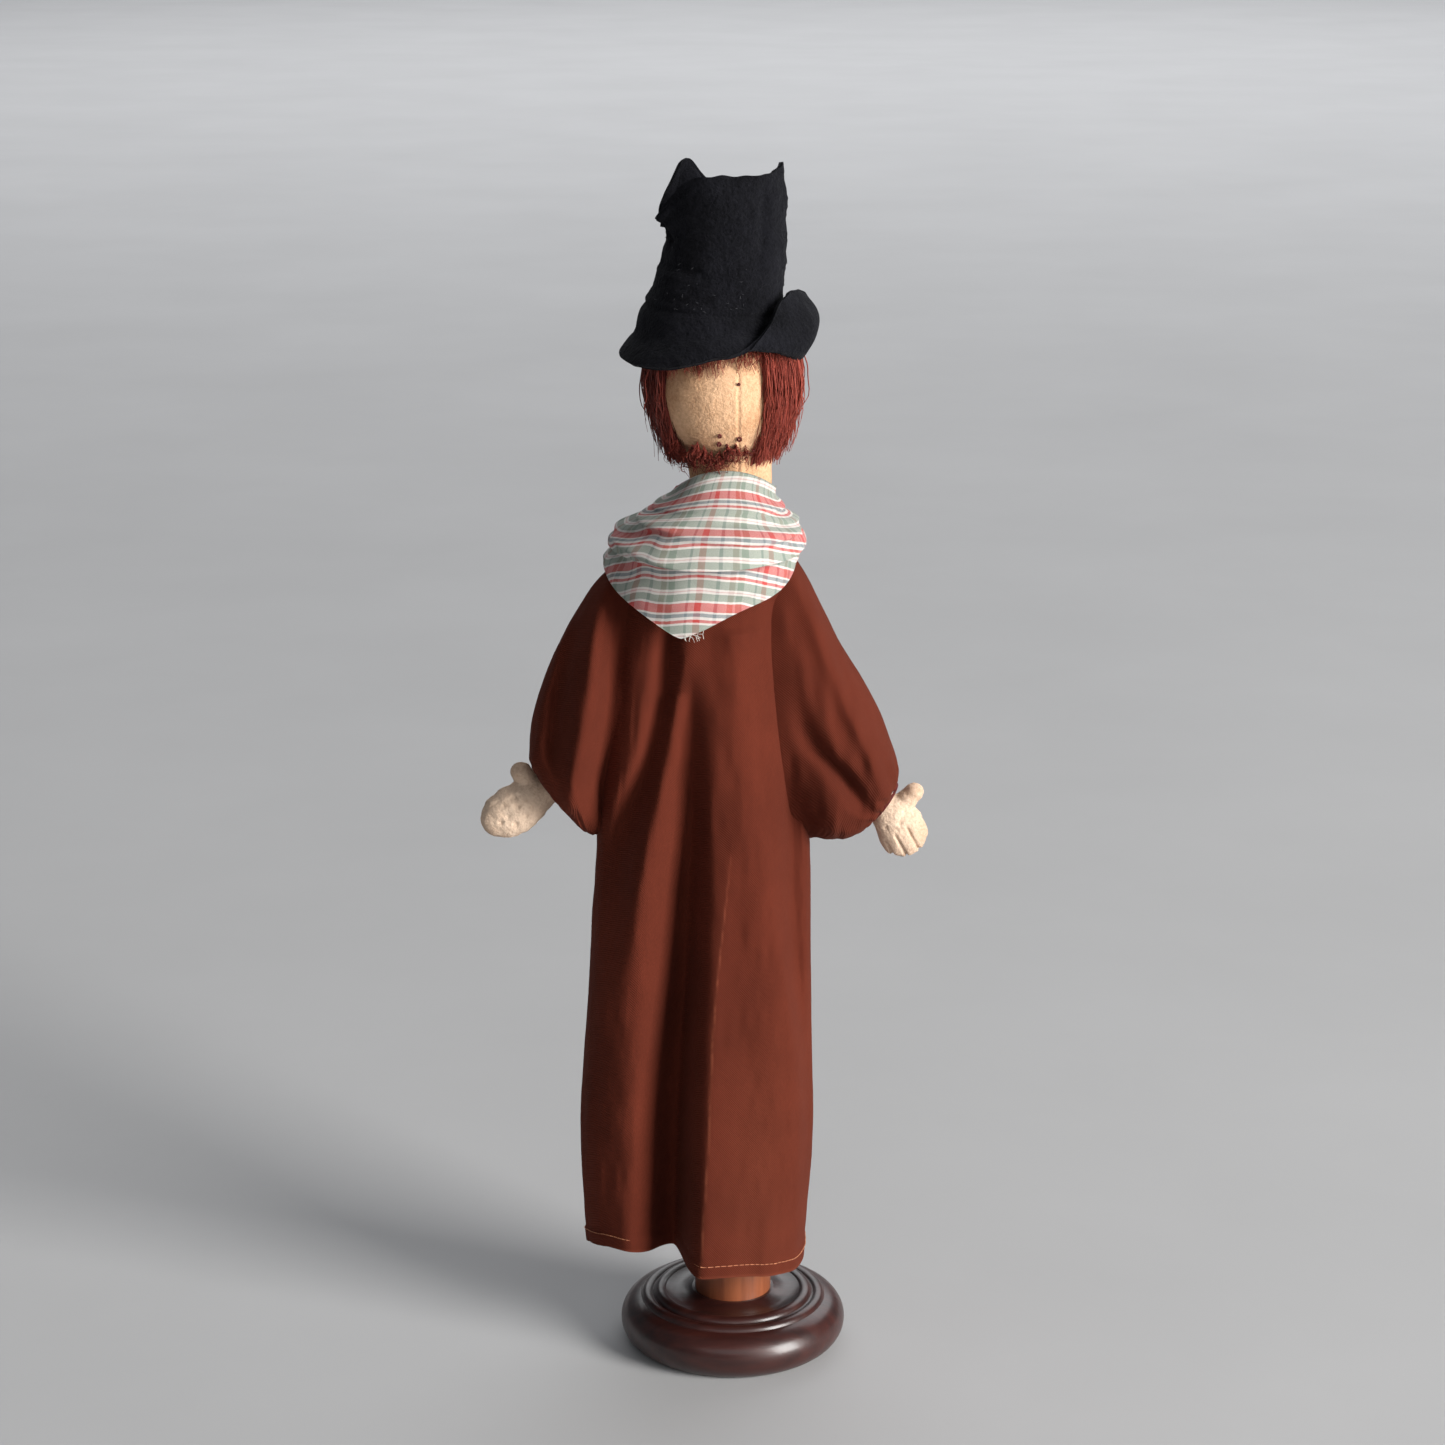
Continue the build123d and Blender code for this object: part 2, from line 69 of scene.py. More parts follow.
def noise(u, v, seed=0, wrap=None):
    """Smooth noise from -1 to 1 on the (u, v) plane, one cell per unit; u repeats after wrap cells."""
    grid = np.random.RandomState(seed).uniform(-1, 1, (64, 64))
    u, v = np.broadcast_arrays(np.asarray(u, float), np.asarray(v, float))
    i, j = np.floor(u).astype(int), np.floor(v).astype(int)
    fu, fv = u - i, v - j
    fu, fv = fu * fu * (3 - 2 * fu), fv * fv * (3 - 2 * fv)
    n = wrap or 64
    i0, i1, j0, j1 = (i % n) % 64, ((i + 1) % n) % 64, j % 64, (j + 1) % 64
    top = grid[i0, j0] * (1 - fu) + grid[i1, j0] * fu
    low = grid[i0, j1] * (1 - fu) + grid[i1, j1] * fu
    return top * (1 - fv) + low * fv


def bump(x, left, right, power=2.0):
    """A fold's shape: 1 at x = 0, falling to 0 over the widths left and right of it."""
    w = np.where(x < 0, left, right)
    return np.exp(-(np.abs(x / w) ** power))


def bell(x, width):
    """1 at x = 0, falling to 0 over the width on both sides."""
    return np.exp(-(x / width) ** 2)


def step(x, a, b):
    """0 at a and 1 at b, eased at both ends; b may be the smaller."""
    t = np.clip((x - a) / (b - a), 0, 1)
    return t * t * (3 - 2 * t)


# ---- meshes
def mesh_object(name, points, faces, material, uv=None, values=None):
    """A smooth mesh from points in mm. uv is one pair per point; values are named point attributes."""
    points = np.asarray(points, float).reshape(-1, 3)
    mesh = bpy.data.meshes.new(name)
    mesh.from_pydata((points * MM).tolist(), [], [list(map(int, f)) for f in faces])
    mesh.validate()
    for p in mesh.polygons:
        p.use_smooth = True
    if uv is not None:
        uv = np.asarray(uv, float).reshape(-1, 2)
        layer = mesh.uv_layers.new(name="UVMap")
        loops = np.zeros(len(mesh.loops), int)
        mesh.loops.foreach_get("vertex_index", loops)
        layer.data.foreach_set("uv", uv[loops].ravel())
    for key, value in (values or {}).items():
        a = mesh.attributes.new(key, "FLOAT", "POINT")
        a.data.foreach_set("value", np.asarray(value, np.float32).ravel())
    obj = bpy.data.objects.new(name, mesh)
    bpy.context.scene.collection.objects.link(obj)
    obj.data.materials.append(material)
    return obj


def grid_faces(rows, cols, wrap, offset=0, flip=False):
    """Quads of a rows by cols grid; wrap joins the last column to the first."""
    r = np.arange(rows - 1)[:, None]
    c = np.arange(cols if wrap else cols - 1)[None, :]
    a, b = r * cols + c, r * cols + (c + 1) % cols
    quads = np.stack([a, b, b + cols, a + cols], -1).reshape(-1, 4) + offset
    return quads[:, ::-1] if flip else quads


def grid_normals(p, wrap):
    """Unit normals of a (rows, cols, 3) grid, pointing along d(row) x d(col)."""
    if wrap:
        dc = np.roll(p, -1, 1) - np.roll(p, 1, 1)
    else:
        dc = np.gradient(p, axis=1)
    dr = np.gradient(p, axis=0)
    n = np.cross(dr, dc)
    return n / np.maximum(np.linalg.norm(n, axis=-1, keepdims=True), 1e-9)


def outward_sign(p, middle_x, wrap=True):
    """1 if the grid's normals point away from the upright line through middle_x, otherwise -1."""
    n = grid_normals(p, wrap)
    return np.sign((n[..., 0] * (p[..., 0] - middle_x) + n[..., 1] * p[..., 1]).mean())


def cloth(name, p, thickness, material, wrap=True, uv=None, values=None, outward=1):
    """A sheet of cloth with real thickness from a (rows, cols, 3) grid: outside, inside and edges."""
    rows, cols = p.shape[:2]
    inner = p - outward * grid_normals(p, wrap) * thickness
    points = np.concatenate([p.reshape(-1, 3), inner.reshape(-1, 3)])
    n = rows * cols
    flip = outward > 0
    faces = [grid_faces(rows, cols, wrap, 0, flip), grid_faces(rows, cols, wrap, n, not flip)]
    edges = [np.arange(cols), np.arange(cols) + (rows - 1) * cols]
    loops = []
    for k, e in enumerate(edges):
        nxt = np.roll(e, -1) if wrap else e[1:]
        cur = e if wrap else e[:-1]
        q = np.stack([cur, nxt, nxt + n, cur + n], -1)
        loops.append(q if (k == 0) != flip else q[:, ::-1])
    if not wrap:
        for k, e in enumerate([np.arange(rows) * cols, np.arange(rows) * cols + cols - 1]):
            q = np.stack([e[:-1], e[1:], e[1:] + n, e[:-1] + n], -1)
            loops.append(q if (k == 0) == flip else q[:, ::-1])
    uv2 = None if uv is None else np.concatenate([uv.reshape(-1, 2)] * 2)
    vals = {k: np.concatenate([v.ravel()] * 2) for k, v in (values or {}).items()}
    return mesh_object(name, points, np.concatenate(faces + loops), material, uv2, vals)


def tubes(name, lines, radii, material, sides=4, values=None):
    """Many thin tapering tubes as one mesh. lines is (count, steps, 3); radii is (count, steps)."""
    lines, radii = np.asarray(lines, float), np.asarray(radii, float)
    count, steps = lines.shape[:2]
    tangent = np.gradient(lines, axis=1)
    tangent /= np.maximum(np.linalg.norm(tangent, axis=-1, keepdims=True), 1e-9)
    ref = np.where(np.abs(tangent[..., 2:3]) > 0.9, [[[1.0, 0, 0]]], [[[0, 0, 1.0]]])
    u = np.cross(tangent, ref)
    u /= np.maximum(np.linalg.norm(u, axis=-1, keepdims=True), 1e-9)
    w = np.cross(tangent, u)
    a = np.linspace(0, 2 * math.pi, sides, endpoint=False)
    ring = (u[:, :, None, :] * np.cos(a)[:, None] + w[:, :, None, :] * np.sin(a)[:, None])
    p = lines[:, :, None, :] + ring * radii[:, :, None, None]
    base = grid_faces(steps, sides, True)
    faces = (np.arange(count)[:, None, None] * steps * sides + base[None]).reshape(-1, 4)
    ends = []
    for at, order in ((0, 1), (steps - 1, -1)):
        cap = np.arange(sides)[::order] + at * sides
        ends.append(np.arange(count)[:, None] * steps * sides + cap[None])
    all_faces = [list(f) for f in faces] + [list(f) for e in ends for f in e]
    vals = {k: np.repeat(np.asarray(v, float), steps * sides) for k, v in (values or {}).items()}
    return mesh_object(name, p, all_faces, material, None, vals)


# ---- materials
class Shader:
    """A Principled material built node by node."""

    def __init__(self, name, roughness=0.8, specular=0.3):
        self.material = bpy.data.materials.new(name)
        self.material.use_nodes = True
        self.nodes, self.links = self.material.node_tree.nodes, self.material.node_tree.links
        self.out = self.nodes["Principled BSDF"]
        self.set(Roughness=roughness, Specular_IOR_Level=specular)

    def set(self, **sockets):
        """Plain values on the shader's own sockets."""
        for key, value in sockets.items():
            self.out.inputs[key.replace("_", " ")].default_value = value

    def node(self, kind, **sockets):
        n = self.nodes.new(kind)
        for key, value in sockets.items():
            self.put(n.inputs[key.replace("_", " ")], value)
        return n

    def put(self, socket, value):
        if isinstance(value, bpy.types.NodeSocket):
            self.links.new(value, socket)
        else:
            socket.default_value = value

    def coords(self, kind="Object"):
        return self.node("ShaderNodeTexCoord").outputs[kind]

    def scaled(self, vector, scale):
        n = self.node("ShaderNodeVectorMath", Vector=vector)
        n.operation = "MULTIPLY"
        n.inputs[1].default_value = scale
        return n.outputs[0]

    def noise(self, vector, scale, detail=3.0, roughness=0.55):
        n = self.node("ShaderNodeTexNoise", Vector=vector, Scale=scale, Detail=detail, Roughness=roughness)
        return n.outputs["Fac"]

    def math(self, op, a, b=0.0, c=0.0, clamp=False):
        n = self.nodes.new("ShaderNodeMath")
        n.operation, n.use_clamp = op, clamp
        for socket, value in zip(n.inputs, (a, b, c)):
            self.put(socket, value)
        return n.outputs[0]

    def ramp(self, fac, stops, constant=False):
        n = self.node("ShaderNodeValToRGB", Fac=fac)
        r = n.color_ramp
        r.interpolation = "CONSTANT" if constant else "LINEAR"
        while len(r.elements) < len(stops):
            r.elements.new(0.5)
        for e, (at, colour) in zip(r.elements, stops):
            e.position = at
            e.color = (*colour, 1.0) if len(colour) == 3 else colour
        return n.outputs["Color"]

    def mix(self, fac, a, b, mode="MIX"):
        n = self.nodes.new("ShaderNodeMix")
        n.data_type, n.blend_type = "RGBA", mode
        self.put(n.inputs[0], fac)
        for socket, value in ((n.inputs[6], a), (n.inputs[7], b)):
            self.put(socket, (*value, 1.0) if isinstance(value, tuple) and len(value) == 3 else value)
        return n.outputs[2]

    def attribute(self, name):
        n = self.nodes.new("ShaderNodeAttribute")
        n.attribute_name = name
        return n.outputs["Fac"]

    def colour(self, value):
        self.put(self.out.inputs["Base Color"], value if not isinstance(value, tuple) else (*value, 1.0))

    def bump(self, *heights):
        """Bump from (height socket, distance in metres) pairs, added together."""
        normal = None
        for height, distance in heights:
            n = self.node("ShaderNodeBump", Height=height, Distance=distance, Strength=1.0)
            if normal is not None:
                self.links.new(normal, n.inputs["Normal"])
            normal = n.outputs["Normal"]
        self.links.new(normal, self.out.inputs["Normal"])


def robe_material():
    s = Shader("robe_twill", roughness=0.9, specular=0.07)
    p = s.coords()
    broad = s.noise(p, 18.0, 4.0)
    base = s.ramp(broad, [(0.3, (0.090, 0.0175, 0.0090)), (0.7, (0.135, 0.0265, 0.0135))])
    yarn = s.noise(s.scaled(p, (1.0, 1.0, 0.25)), 2600.0, 2.0)
    base = s.mix(s.math("MULTIPLY", yarn, 0.45), base, (0.05, 0.012, 0.008))
    # The attribute lightens the twill: wear along the back's crease, the hem and the cuffs, and a painted
    # highlight on the back's right pleat.
    faded = s.attribute("wear_and_highlight")
    base = s.mix(s.math("MULTIPLY", faded, 0.50), base, (0.30, 0.085, 0.045))
    s.colour(base)
    diagonal = s.node("ShaderNodeTexWave", Vector=p, Scale=620.0, Distortion=0.6, Detail=1.0)
    diagonal.wave_type, diagonal.bands_direction = "BANDS", "DIAGONAL"
    s.bump((diagonal.outputs["Fac"], 0.00012), (s.noise(p, 900.0, 3.0), 0.00015),
           (s.noise(p, 60.0, 3.0), 0.0006))
    s.set(Sheen_Weight=0.05, Sheen_Roughness=0.4, Sheen_Tint=(0.75, 0.42, 0.33, 1.0))
    return s.material


def felt_material(name, dark, light, sheen=0.35, fuzz=0.0005, tint=(1.0, 0.9, 0.8, 1.0)):
    s = Shader(name, roughness=0.95, specular=0.1)
    p = s.coords()
    cloud, fine = s.noise(p, 45.0, 4.0), s.noise(p, 900.0, 4.0, 0.65)
    both = s.math("ADD", s.math("MULTIPLY", cloud, 0.55), s.math("MULTIPLY", fine, 0.45))
    s.colour(s.ramp(both, [(0.38, dark), (0.62, light)]))
    s.bump((fine, fuzz), (s.noise(p, 260.0, 3.0, 0.6), fuzz * 1.3))
    s.set(Sheen_Weight=sheen, Sheen_Roughness=0.5, Sheen_Tint=tint)
    return s.material


def plain_material(name, colour, roughness=0.8, specular=0.3, grain=400.0, vary=0.25):
    s = Shader(name, roughness=roughness, specular=specular)
    p = s.coords()
    n = s.noise(p, grain, 3.0)
    dark = tuple(c * (1 - vary) for c in colour)
    light = tuple(min(1.0, c * (1 + vary)) for c in colour)
    s.colour(s.ramp(n, [(0.35, dark), (0.65, light)]))
    s.bump((n, 0.0001))
    return s.material


RED, WHITE = (0.54, 0.030, 0.028), (0.72, 0.68, 0.64)
GREEN, SLATE, PINK, BROWN = (0.20, 0.265, 0.21), (0.16, 0.20, 0.22), (0.62, 0.40, 0.38), (0.36, 0.22, 0.16)
WEFT_REPEAT, WARP_REPEAT, THREAD_PITCH = 18.6, 29.0, 0.42  # mm of cloth


def kerchief_material():
    """Woven check: red, white and grey-green stripes across, faint bands the other way."""
    s = Shader("check_cotton", roughness=0.88, specular=0.15)
    n = s.node("ShaderNodeSeparateXYZ", Vector=s.coords("UV"))
    u, v = n.outputs["X"], n.outputs["Y"]
    p = s.coords()
    wobble = s.math("MULTIPLY", s.math("SUBTRACT", s.noise(p, 700.0, 2.0), 0.5), 0.35)
    v = s.math("ADD", v, wobble)
    across = s.math("FRACT", s.math("DIVIDE", v, WEFT_REPEAT))
    along = s.math("FRACT", s.math("DIVIDE", s.math("ADD", u, wobble), WARP_REPEAT))

    def stripes(fac, widths, total):
        stops, at = [], 0.0
        for width, colour in widths:
            stops.append((at / total, colour))
            at += width
        return s.ramp(fac, stops, constant=True)

    weft = stripes(across, [(3.6, RED), (0.8, WHITE), (1.5, SLATE), (1.2, WHITE), (1.2, RED), (0.9, WHITE),
                            (3.4, GREEN), (0.9, WHITE), (0.4, PINK), (0.9, WHITE), (2.9, GREEN),
                            (0.9, WHITE)], WEFT_REPEAT)
    warp = stripes(along, [(5.2, WHITE), (1.4, SLATE), (4.0, WHITE), (2.6, BROWN), (1.0, WHITE),
                           (3.0, GREEN), (5.4, WHITE), (1.0, SLATE), (2.6, WHITE), (2.8, RED)], WARP_REPEAT)
    thread_u = s.math("SINE", s.math("MULTIPLY", u, 2 * math.pi / THREAD_PITCH))
    thread_v = s.math("SINE", s.math("MULTIPLY", v, 2 * math.pi / THREAD_PITCH))
    weave = s.math("MULTIPLY_ADD", s.math("MULTIPLY", thread_u, thread_v), 0.22, 0.22, clamp=True)
    colour = s.mix(weave, weft, warp)
    colour = s.mix(s.math("MULTIPLY", s.noise(p, 1500.0, 3.0), 0.10), colour, (0.75, 0.72, 0.68))
    soil = s.noise(p, 40.0, 4.0)
    colour = s.mix(s.math("MULTIPLY", soil, 0.14), colour, (0.32, 0.25, 0.20))
    s.colour(colour)
    s.bump((weave, 0.00025), (s.noise(p, 500.0, 3.0), 0.0002))
    s.set(Sheen_Weight=0.15)
    return s.material


def hair_material():
    s = Shader("mohair", roughness=0.6, specular=0.2)
    # The attribute is each strand's own tone, with painted shade on the left of the head, where the hair is
    # given darker tones.
    tone_and_painted_shade = s.attribute("tone_and_painted_shade")
    p = s.coords()
    base = s.ramp(tone_and_painted_shade, [(0.0, (0.055, 0.0075, 0.006)), (0.5, (0.17, 0.022, 0.015)),
                          (1.0, (0.40, 0.075, 0.048))])
    s.colour(s.mix(s.math("MULTIPLY", s.noise(p, 500.0, 2.0), 0.4), base, (0.26, 0.05, 0.03)))
    s.set(Sheen_Weight=0.1, Sheen_Tint=(1.0, 0.4, 0.3, 1.0))
    return s.material


def wood_material(name, dark, light, roughness, ring_axis="Z", coat=0.0):
    s = Shader(name, roughness=roughness, specular=0.5)
    p = s.coords()
    stretched = s.scaled(p, (1.0, 1.0, 0.06) if ring_axis == "Z" else (0.12, 1.0, 1.0))
    grain = s.noise(stretched, 260.0, 6.0, 0.6)
    broad = s.noise(stretched, 55.0, 3.0)
    both = s.math("ADD", s.math("MULTIPLY", grain, 0.55), s.math("MULTIPLY", broad, 0.45))
    s.colour(s.ramp(both, [(0.36, dark), (0.64, light)]))
    s.bump((grain, 0.00012))
    rough = s.math("MULTIPLY_ADD", s.noise(p, 60.0, 3.0), 0.22, roughness - 0.08)
    s.put(s.out.inputs["Roughness"], rough)
    s.set(Coat_Weight=coat, Coat_Roughness=0.16)
    return s.material


MAT = {
    "robe": robe_material(),
    "skin": felt_material("skin_felt", (0.50, 0.265, 0.135), (0.76, 0.475, 0.285), sheen=0.1),
    "hand": felt_material("hand_felt", (0.56, 0.37, 0.25), (0.79, 0.60, 0.45), sheen=0.12),
    "hat": felt_material("hat_felt", (0.0018, 0.0018, 0.0026), (0.0085, 0.0085, 0.0115), 0.03, 0.0009,
                         (0.7, 0.72, 0.8, 1.0)),
    "check": kerchief_material(),
    "hair": hair_material(),
    "base": wood_material("mahogany_gloss", (0.016, 0.0045, 0.0038), (0.052, 0.013, 0.0095), 0.33, "X", 0.22),
    "post": wood_material("post_wood", (0.12, 0.030, 0.012), (0.29, 0.085, 0.032), 0.42, "Z", 0.1),
    "baize": plain_material("green_baize", (0.03, 0.12, 0.055), 0.95, 0.1, 900.0),
    "steel": plain_material("screw_steel", (0.5, 0.5, 0.5), 0.35, 0.6, 200.0),
    "card": plain_material("card_tube", (0.45, 0.34, 0.22), 0.85, 0.2, 300.0),
    "hem_thread": plain_material("hem_thread", (0.50, 0.20, 0.10), 0.7, 0.3, 900.0),
    "dark_thread": plain_material("dark_thread", (0.10, 0.012, 0.010), 0.6, 0.3, 900.0),
    "pale_thread": plain_material("pale_thread", (0.66, 0.62, 0.56), 0.8, 0.2, 900.0),
    "grey_lint": plain_material("grey_lint", (0.11, 0.11, 0.12), 0.9, 0.2, 900.0),
    "blush": plain_material("cheek_felt", (0.60, 0.17, 0.13), 0.95, 0.1, 800.0),
    "bead": plain_material("black_bead", (0.012, 0.012, 0.014), 0.12, 0.6, 50.0, 0.1),
}
MAT["steel"].node_tree.nodes["Principled BSDF"].inputs["Metallic"].default_value = 1.0


# ---- robe body
# Height, centre x, half width, half depth of the robe's section before its folds
BODY = [
    (36, -15.0, 44.5, 35.5), (60, -15.0, 46.5, 36.0), (85, -14.5, 47.7, 35.5), (150, -13.5, 45.8, 33.5),
    (218, -11.8, 42.8, 31.0), (262, -11.5, 40.0, 28.5), (300, -11.5, 36.0, 25.5), (322, -10.0, 32.5, 23.5),
    (338, -6.0, 26.0, 20.5), (346, -2.5, 20.5, 18.6), (352, -0.5, 18.3, 18.2),
]
# The fold down the middle of the back, worn pale along its edge
CREASE = [(36, -13.5, 2.6, 8, 9), (61, -12.4, 2.6, 8, 9), (92, -10.4, 2.4, 8, 9), (154, -7.6, 2, 7, 9),
          (212, -1.9, 1, 6, 9), (250, 2, 0, 6, 9)]
# Each fold of the back: keys of (height, x, amount outward, width to the left, width to the right)
BACK_FOLDS = [
    ("smooth", [(36, -24.5, -31, 12, 6), (60, -24.5, -30, 12, 6), (123, -22.5, -26, 12, 6),
                (175, -19.2, -20, 10, 5.5), (226, -17.2, -13, 9, 5.5), (276, -16.8, -5, 6, 5),
                (300, -17, 0, 5, 5)]),
    ("smooth", [(150, -58, 0, 7, 8), (200, -51, -4, 7, 8), (221, -45.8, -8, 6, 7), (237, -40, -9, 6, 7),
                (259, -32.2, -9, 5, 6), (283, -27.4, -8, 5, 4.5), (308, -25.2, -6.5, 4.5, 4),
                (330, -24, -2, 4, 4)]),
    ("smooth", [(36, -50, -7, 16, 12), (68, -50, -6, 15, 12), (103, -50, -4, 12, 11), (151, -47, 1, 8, 9),
                (182, -41, 4, 6, 8), (232, -33, 3.5, 4.5, 6), (285, -22.5, 1.5, 3, 3)]),
    ("crease", CREASE),
    ("smooth", [(36, 24, 3.2, 14, 4), (69, 26, 3.6, 15, 4), (132, 25, 4.2, 16, 4), (163, 20.6, 4.2, 14, 4),
                (193, 15, 3.8, 12, 4.5), (223, 9.4, 3.2, 10, 6), (262, 3.4, 2.6, 8, 8),
                (311, 1.7, 2.2, 7, 8)]),
    ("smooth", [(36, 31, -2, 3, 3), (69, 30.6, -3, 3, 3.4), (132, 29.6, -4, 3.2, 3.6),
                (168, 25.6, -5.5, 3.4, 4), (188, 24.6, -6, 3.6, 4), (229, 23.2, -6.5, 4, 4),
                (249, 22.4, -6, 4, 4), (288, 20, -5, 4, 4), (325, 14, -2.5, 4, 4)]),
]
FRONT_FOLDS = [
    ("smooth", [(36, -34, -9, 8, 7), (150, -32, -7, 7, 6), (260, -27, -3, 5, 5), (320, -22, 0, 4, 4)]),
    ("smooth", [(36, -14, 3, 12, 9), (150, -13, 3.5, 11, 8), (260, -11, 2, 8, 7), (330, -8, 0, 6, 6)]),
    ("smooth", [(36, 6, -12, 7, 9), (150, 4, -9, 6, 8), (240, 2, -4, 5, 6), (320, 0, 0, 5, 5)]),
    ("smooth", [(36, 22, 3, 7, 6), (150, 20, 3, 7, 6), (260, 14, 1, 6, 6)]),
]


def folded(x, z, folds):
    """How far the folds push the cloth outward at each (x, z)."""
    out = np.zeros_like(x)
    for kind, keys in folds:
        fx, amount, left, right = curve_through(z, keys)
        faded = np.where((z < keys[0][0]) | (z > max(k[0] for k in keys)), 0.0, 1.0)
        out += faded * amount * bump(x - fx, left, right, 1.25 if kind == "crease" else 2.0)
    return out


def body_surface(turn, z):
    """The robe's outside. turn runs once round; half a turn from 0.5 to 1 is the back."""
    cx, a, b = curve_through(z, BODY)
    c, s = np.cos(2 * math.pi * turn), np.sin(2 * math.pi * turn)
    power = 2 / 2.25
    x = cx + a * np.sign(c) * np.abs(c) ** power
    y = b * np.sign(s) * np.abs(s) ** power
    side = np.clip(np.abs(y) / 9.0, 0, 1)
    push = np.where(y < 0, folded(x, z, BACK_FOLDS), folded(x, z, FRONT_FOLDS)) * side
    low = step(z, 330, 300)
    ripple = (0.9 * noise(turn * 14, z / 46 + 3, 1, 14) + 0.45 * noise(turn * 34, z / 21, 2, 34)
              + 0.22 * noise(turn * 90, z / 9, 3, 90 % 64)) * low
    y = y + np.sign(y + 1e-9) * push + np.where(y < 0, -1, 1) * ripple * side
    x = x + np.sign(c) * ripple * (1 - side) * 0.9
    return x, y


rows, cols = 250, 400
turns = (np.arange(cols) + 0.5)[None, :] / cols
hem_drop = curve_through(turns, [(0, 38), (0.1, 39), (0.25, 41), (0.4, 42), (0.5, 43), (0.56, 45.5),
                                 (0.62, 48.0), (0.665, 47.5), (0.69, 45.5), (0.73, 43.0), (0.8, 42.0),
                                 (0.88, 40.5), (0.95, 38.5), (1, 38)])[0]
share = np.linspace(0, 1, rows)[:, None] ** 0.97
z_grid = hem_drop + (351.5 - hem_drop) * share
x_grid, y_grid = body_surface(turns + 0 * z_grid, z_grid)
outside = np.stack([x_grid, y_grid, z_grid], -1)
height = z_grid - hem_drop
hem_fold = 0.55 * step(height, 6.6, 5.6)
normals = grid_normals(outside, True)
facing = np.sign((normals[..., 0] * (x_grid + 12) + normals[..., 1] * y_grid).mean())
outside = outside + normals * (facing * hem_fold)[..., None]
crease_x = curve_through(z_grid, [key[:2] for key in CREASE])[0]
wear_and_highlight = 0.85 * bell(x_grid - crease_x, 0.32) * (y_grid < 0) * step(z_grid, 232, 205)
wear_and_highlight *= 0.45 + 0.55 * (noise(z_grid / 2.2, turns * 0, 5) > -0.25)
# The pale hem edge is wear; the broad pale patch on the back at x 9 mm, from 70 to 190 mm up, is a painted
# highlight on the lit right pleat.
wear_and_highlight += 0.30 * step(height, 1.2, 0.2) + 0.22 * (y_grid < 0) * bell(x_grid - 9, 15) * step(z_grid, 190, 70)
robe = cloth("robe_body", outside, 1.0, MAT["robe"], values={"wear_and_highlight": np.clip(wear_and_highlight, 0, 1)}, outward=facing)
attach(robe, "torso")
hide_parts("robe_back", "robe_front")

# Machine stitches that hold the hem
stitch_lines = []
HEM_STITCHES = 118
for start in np.arange(0, 1, 1 / HEM_STITCHES):
    t = (start + np.linspace(0, 0.0066, 4)) % 1
    hem_here = np.interp(t, turns[0], hem_drop[0])
    z = hem_here + 5.4
    x, y = body_surface(t, z)
    stitch_lines.append(np.stack([x, y, z], -1))
stitch_lines = np.array(stitch_lines)
from_axis = stitch_lines[..., :2] - [-13, 0]
from_axis /= np.linalg.norm(from_axis, axis=-1, keepdims=True)
valley = (stitch_lines[..., 0] > -40) & (stitch_lines[..., 0] < -17) & (stitch_lines[..., 1] < 0)
stitch_lines[..., :2] += from_axis * np.where(valley, 0.0, 0.7)[..., None]
shown = stitch_lines[~valley.any(1)]
stitches = tubes("hem_stitches", shown, np.full((len(shown), 4), 0.19), MAT["hem_thread"])
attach(stitches, "torso")


# ---- sleeves
# Down each sleeve: share, top edge x and z, underarm edge x and z, half depth
SLEEVE_EDGES = {
    "left": [(0, -30, 338, -32, 224, 15), (0.14, -44.5, 334.5, -43, 222, 18.5),
             (0.28, -55.9, 323.7, -52, 220.5, 21), (0.46, -68.9, 301.3, -56.5, 221.2, 23),
             (0.63, -77, 281, -59.3, 223, 22.5), (0.80, -81.6, 262, -62, 226, 19),
             (0.93, -81.6, 252.8, -63.8, 229.3, 15), (1, -80.4, 249.4, -64.9, 231.5, 11.2)],
    "right": [(0, 6, 343, 8, 224, 15), (0.14, 20, 340, 19, 221, 18.5), (0.28, 29, 328, 27, 219.6, 21),
              (0.46, 42, 301.3, 36.5, 219.6, 23), (0.63, 52.5, 283.5, 43, 220.4, 22.5),
              (0.80, 61.8, 264, 49, 221.6, 19), (0.93, 66.2, 248.6, 53, 224.2, 14.5),
              (1, 65.6, 242.6, 54.4, 226, 10.4)],
}
# Folds of the sleeves as seen from behind: keys of (height, x, amount outward, width left, width right)
SLEEVE_FOLDS = {
    "left": [
        ("smooth", [(232, -66, 0, 4, 5), (243, -64.5, 3.5, 4, 6), (269, -59.4, 5.5, 4.5, 6),
                    (308, -54.3, 4, 3.5, 5), (328, -51, 1, 3, 4)]),
        ("smooth", [(250, -73, 0, 3, 3.5), (262, -72, -5, 3, 4), (280, -70, -5.5, 3.5, 4),
                    (306, -63.5, -3.5, 3, 3.5), (322, -58, 0, 3, 3)]),
        ("smooth", [(226, -50, -3, 4, 4), (236, -51.5, -6, 4.5, 4.5), (268, -49.6, -6, 4.5, 5),
                    (307, -45.5, -4, 4, 4), (326, -43, 0, 3, 3)]),
    ],
    "right": [
        ("smooth", [(232, 53, 0, 3, 3), (240, 49.5, -5, 3.5, 4), (250, 43.5, -7, 4.5, 4.5),
                    (262, 33, -5, 5, 5), (276, 27, -2, 5, 5), (290, 24, 0, 4, 4)]),
        ("smooth", [(240, 60, 1, 3, 4), (257, 55.5, 4, 4, 4), (286, 42.5, 3.5, 4.5, 5),
                    (316, 31, 2.5, 4, 4), (330, 25, 0, 3, 3)]),
        ("smooth", [(221, 40, 3.5, 9, 8), (232, 38, 4, 9, 8), (246, 34, 2, 8, 6), (255, 30, 0, 6, 6)]),
    ],
}


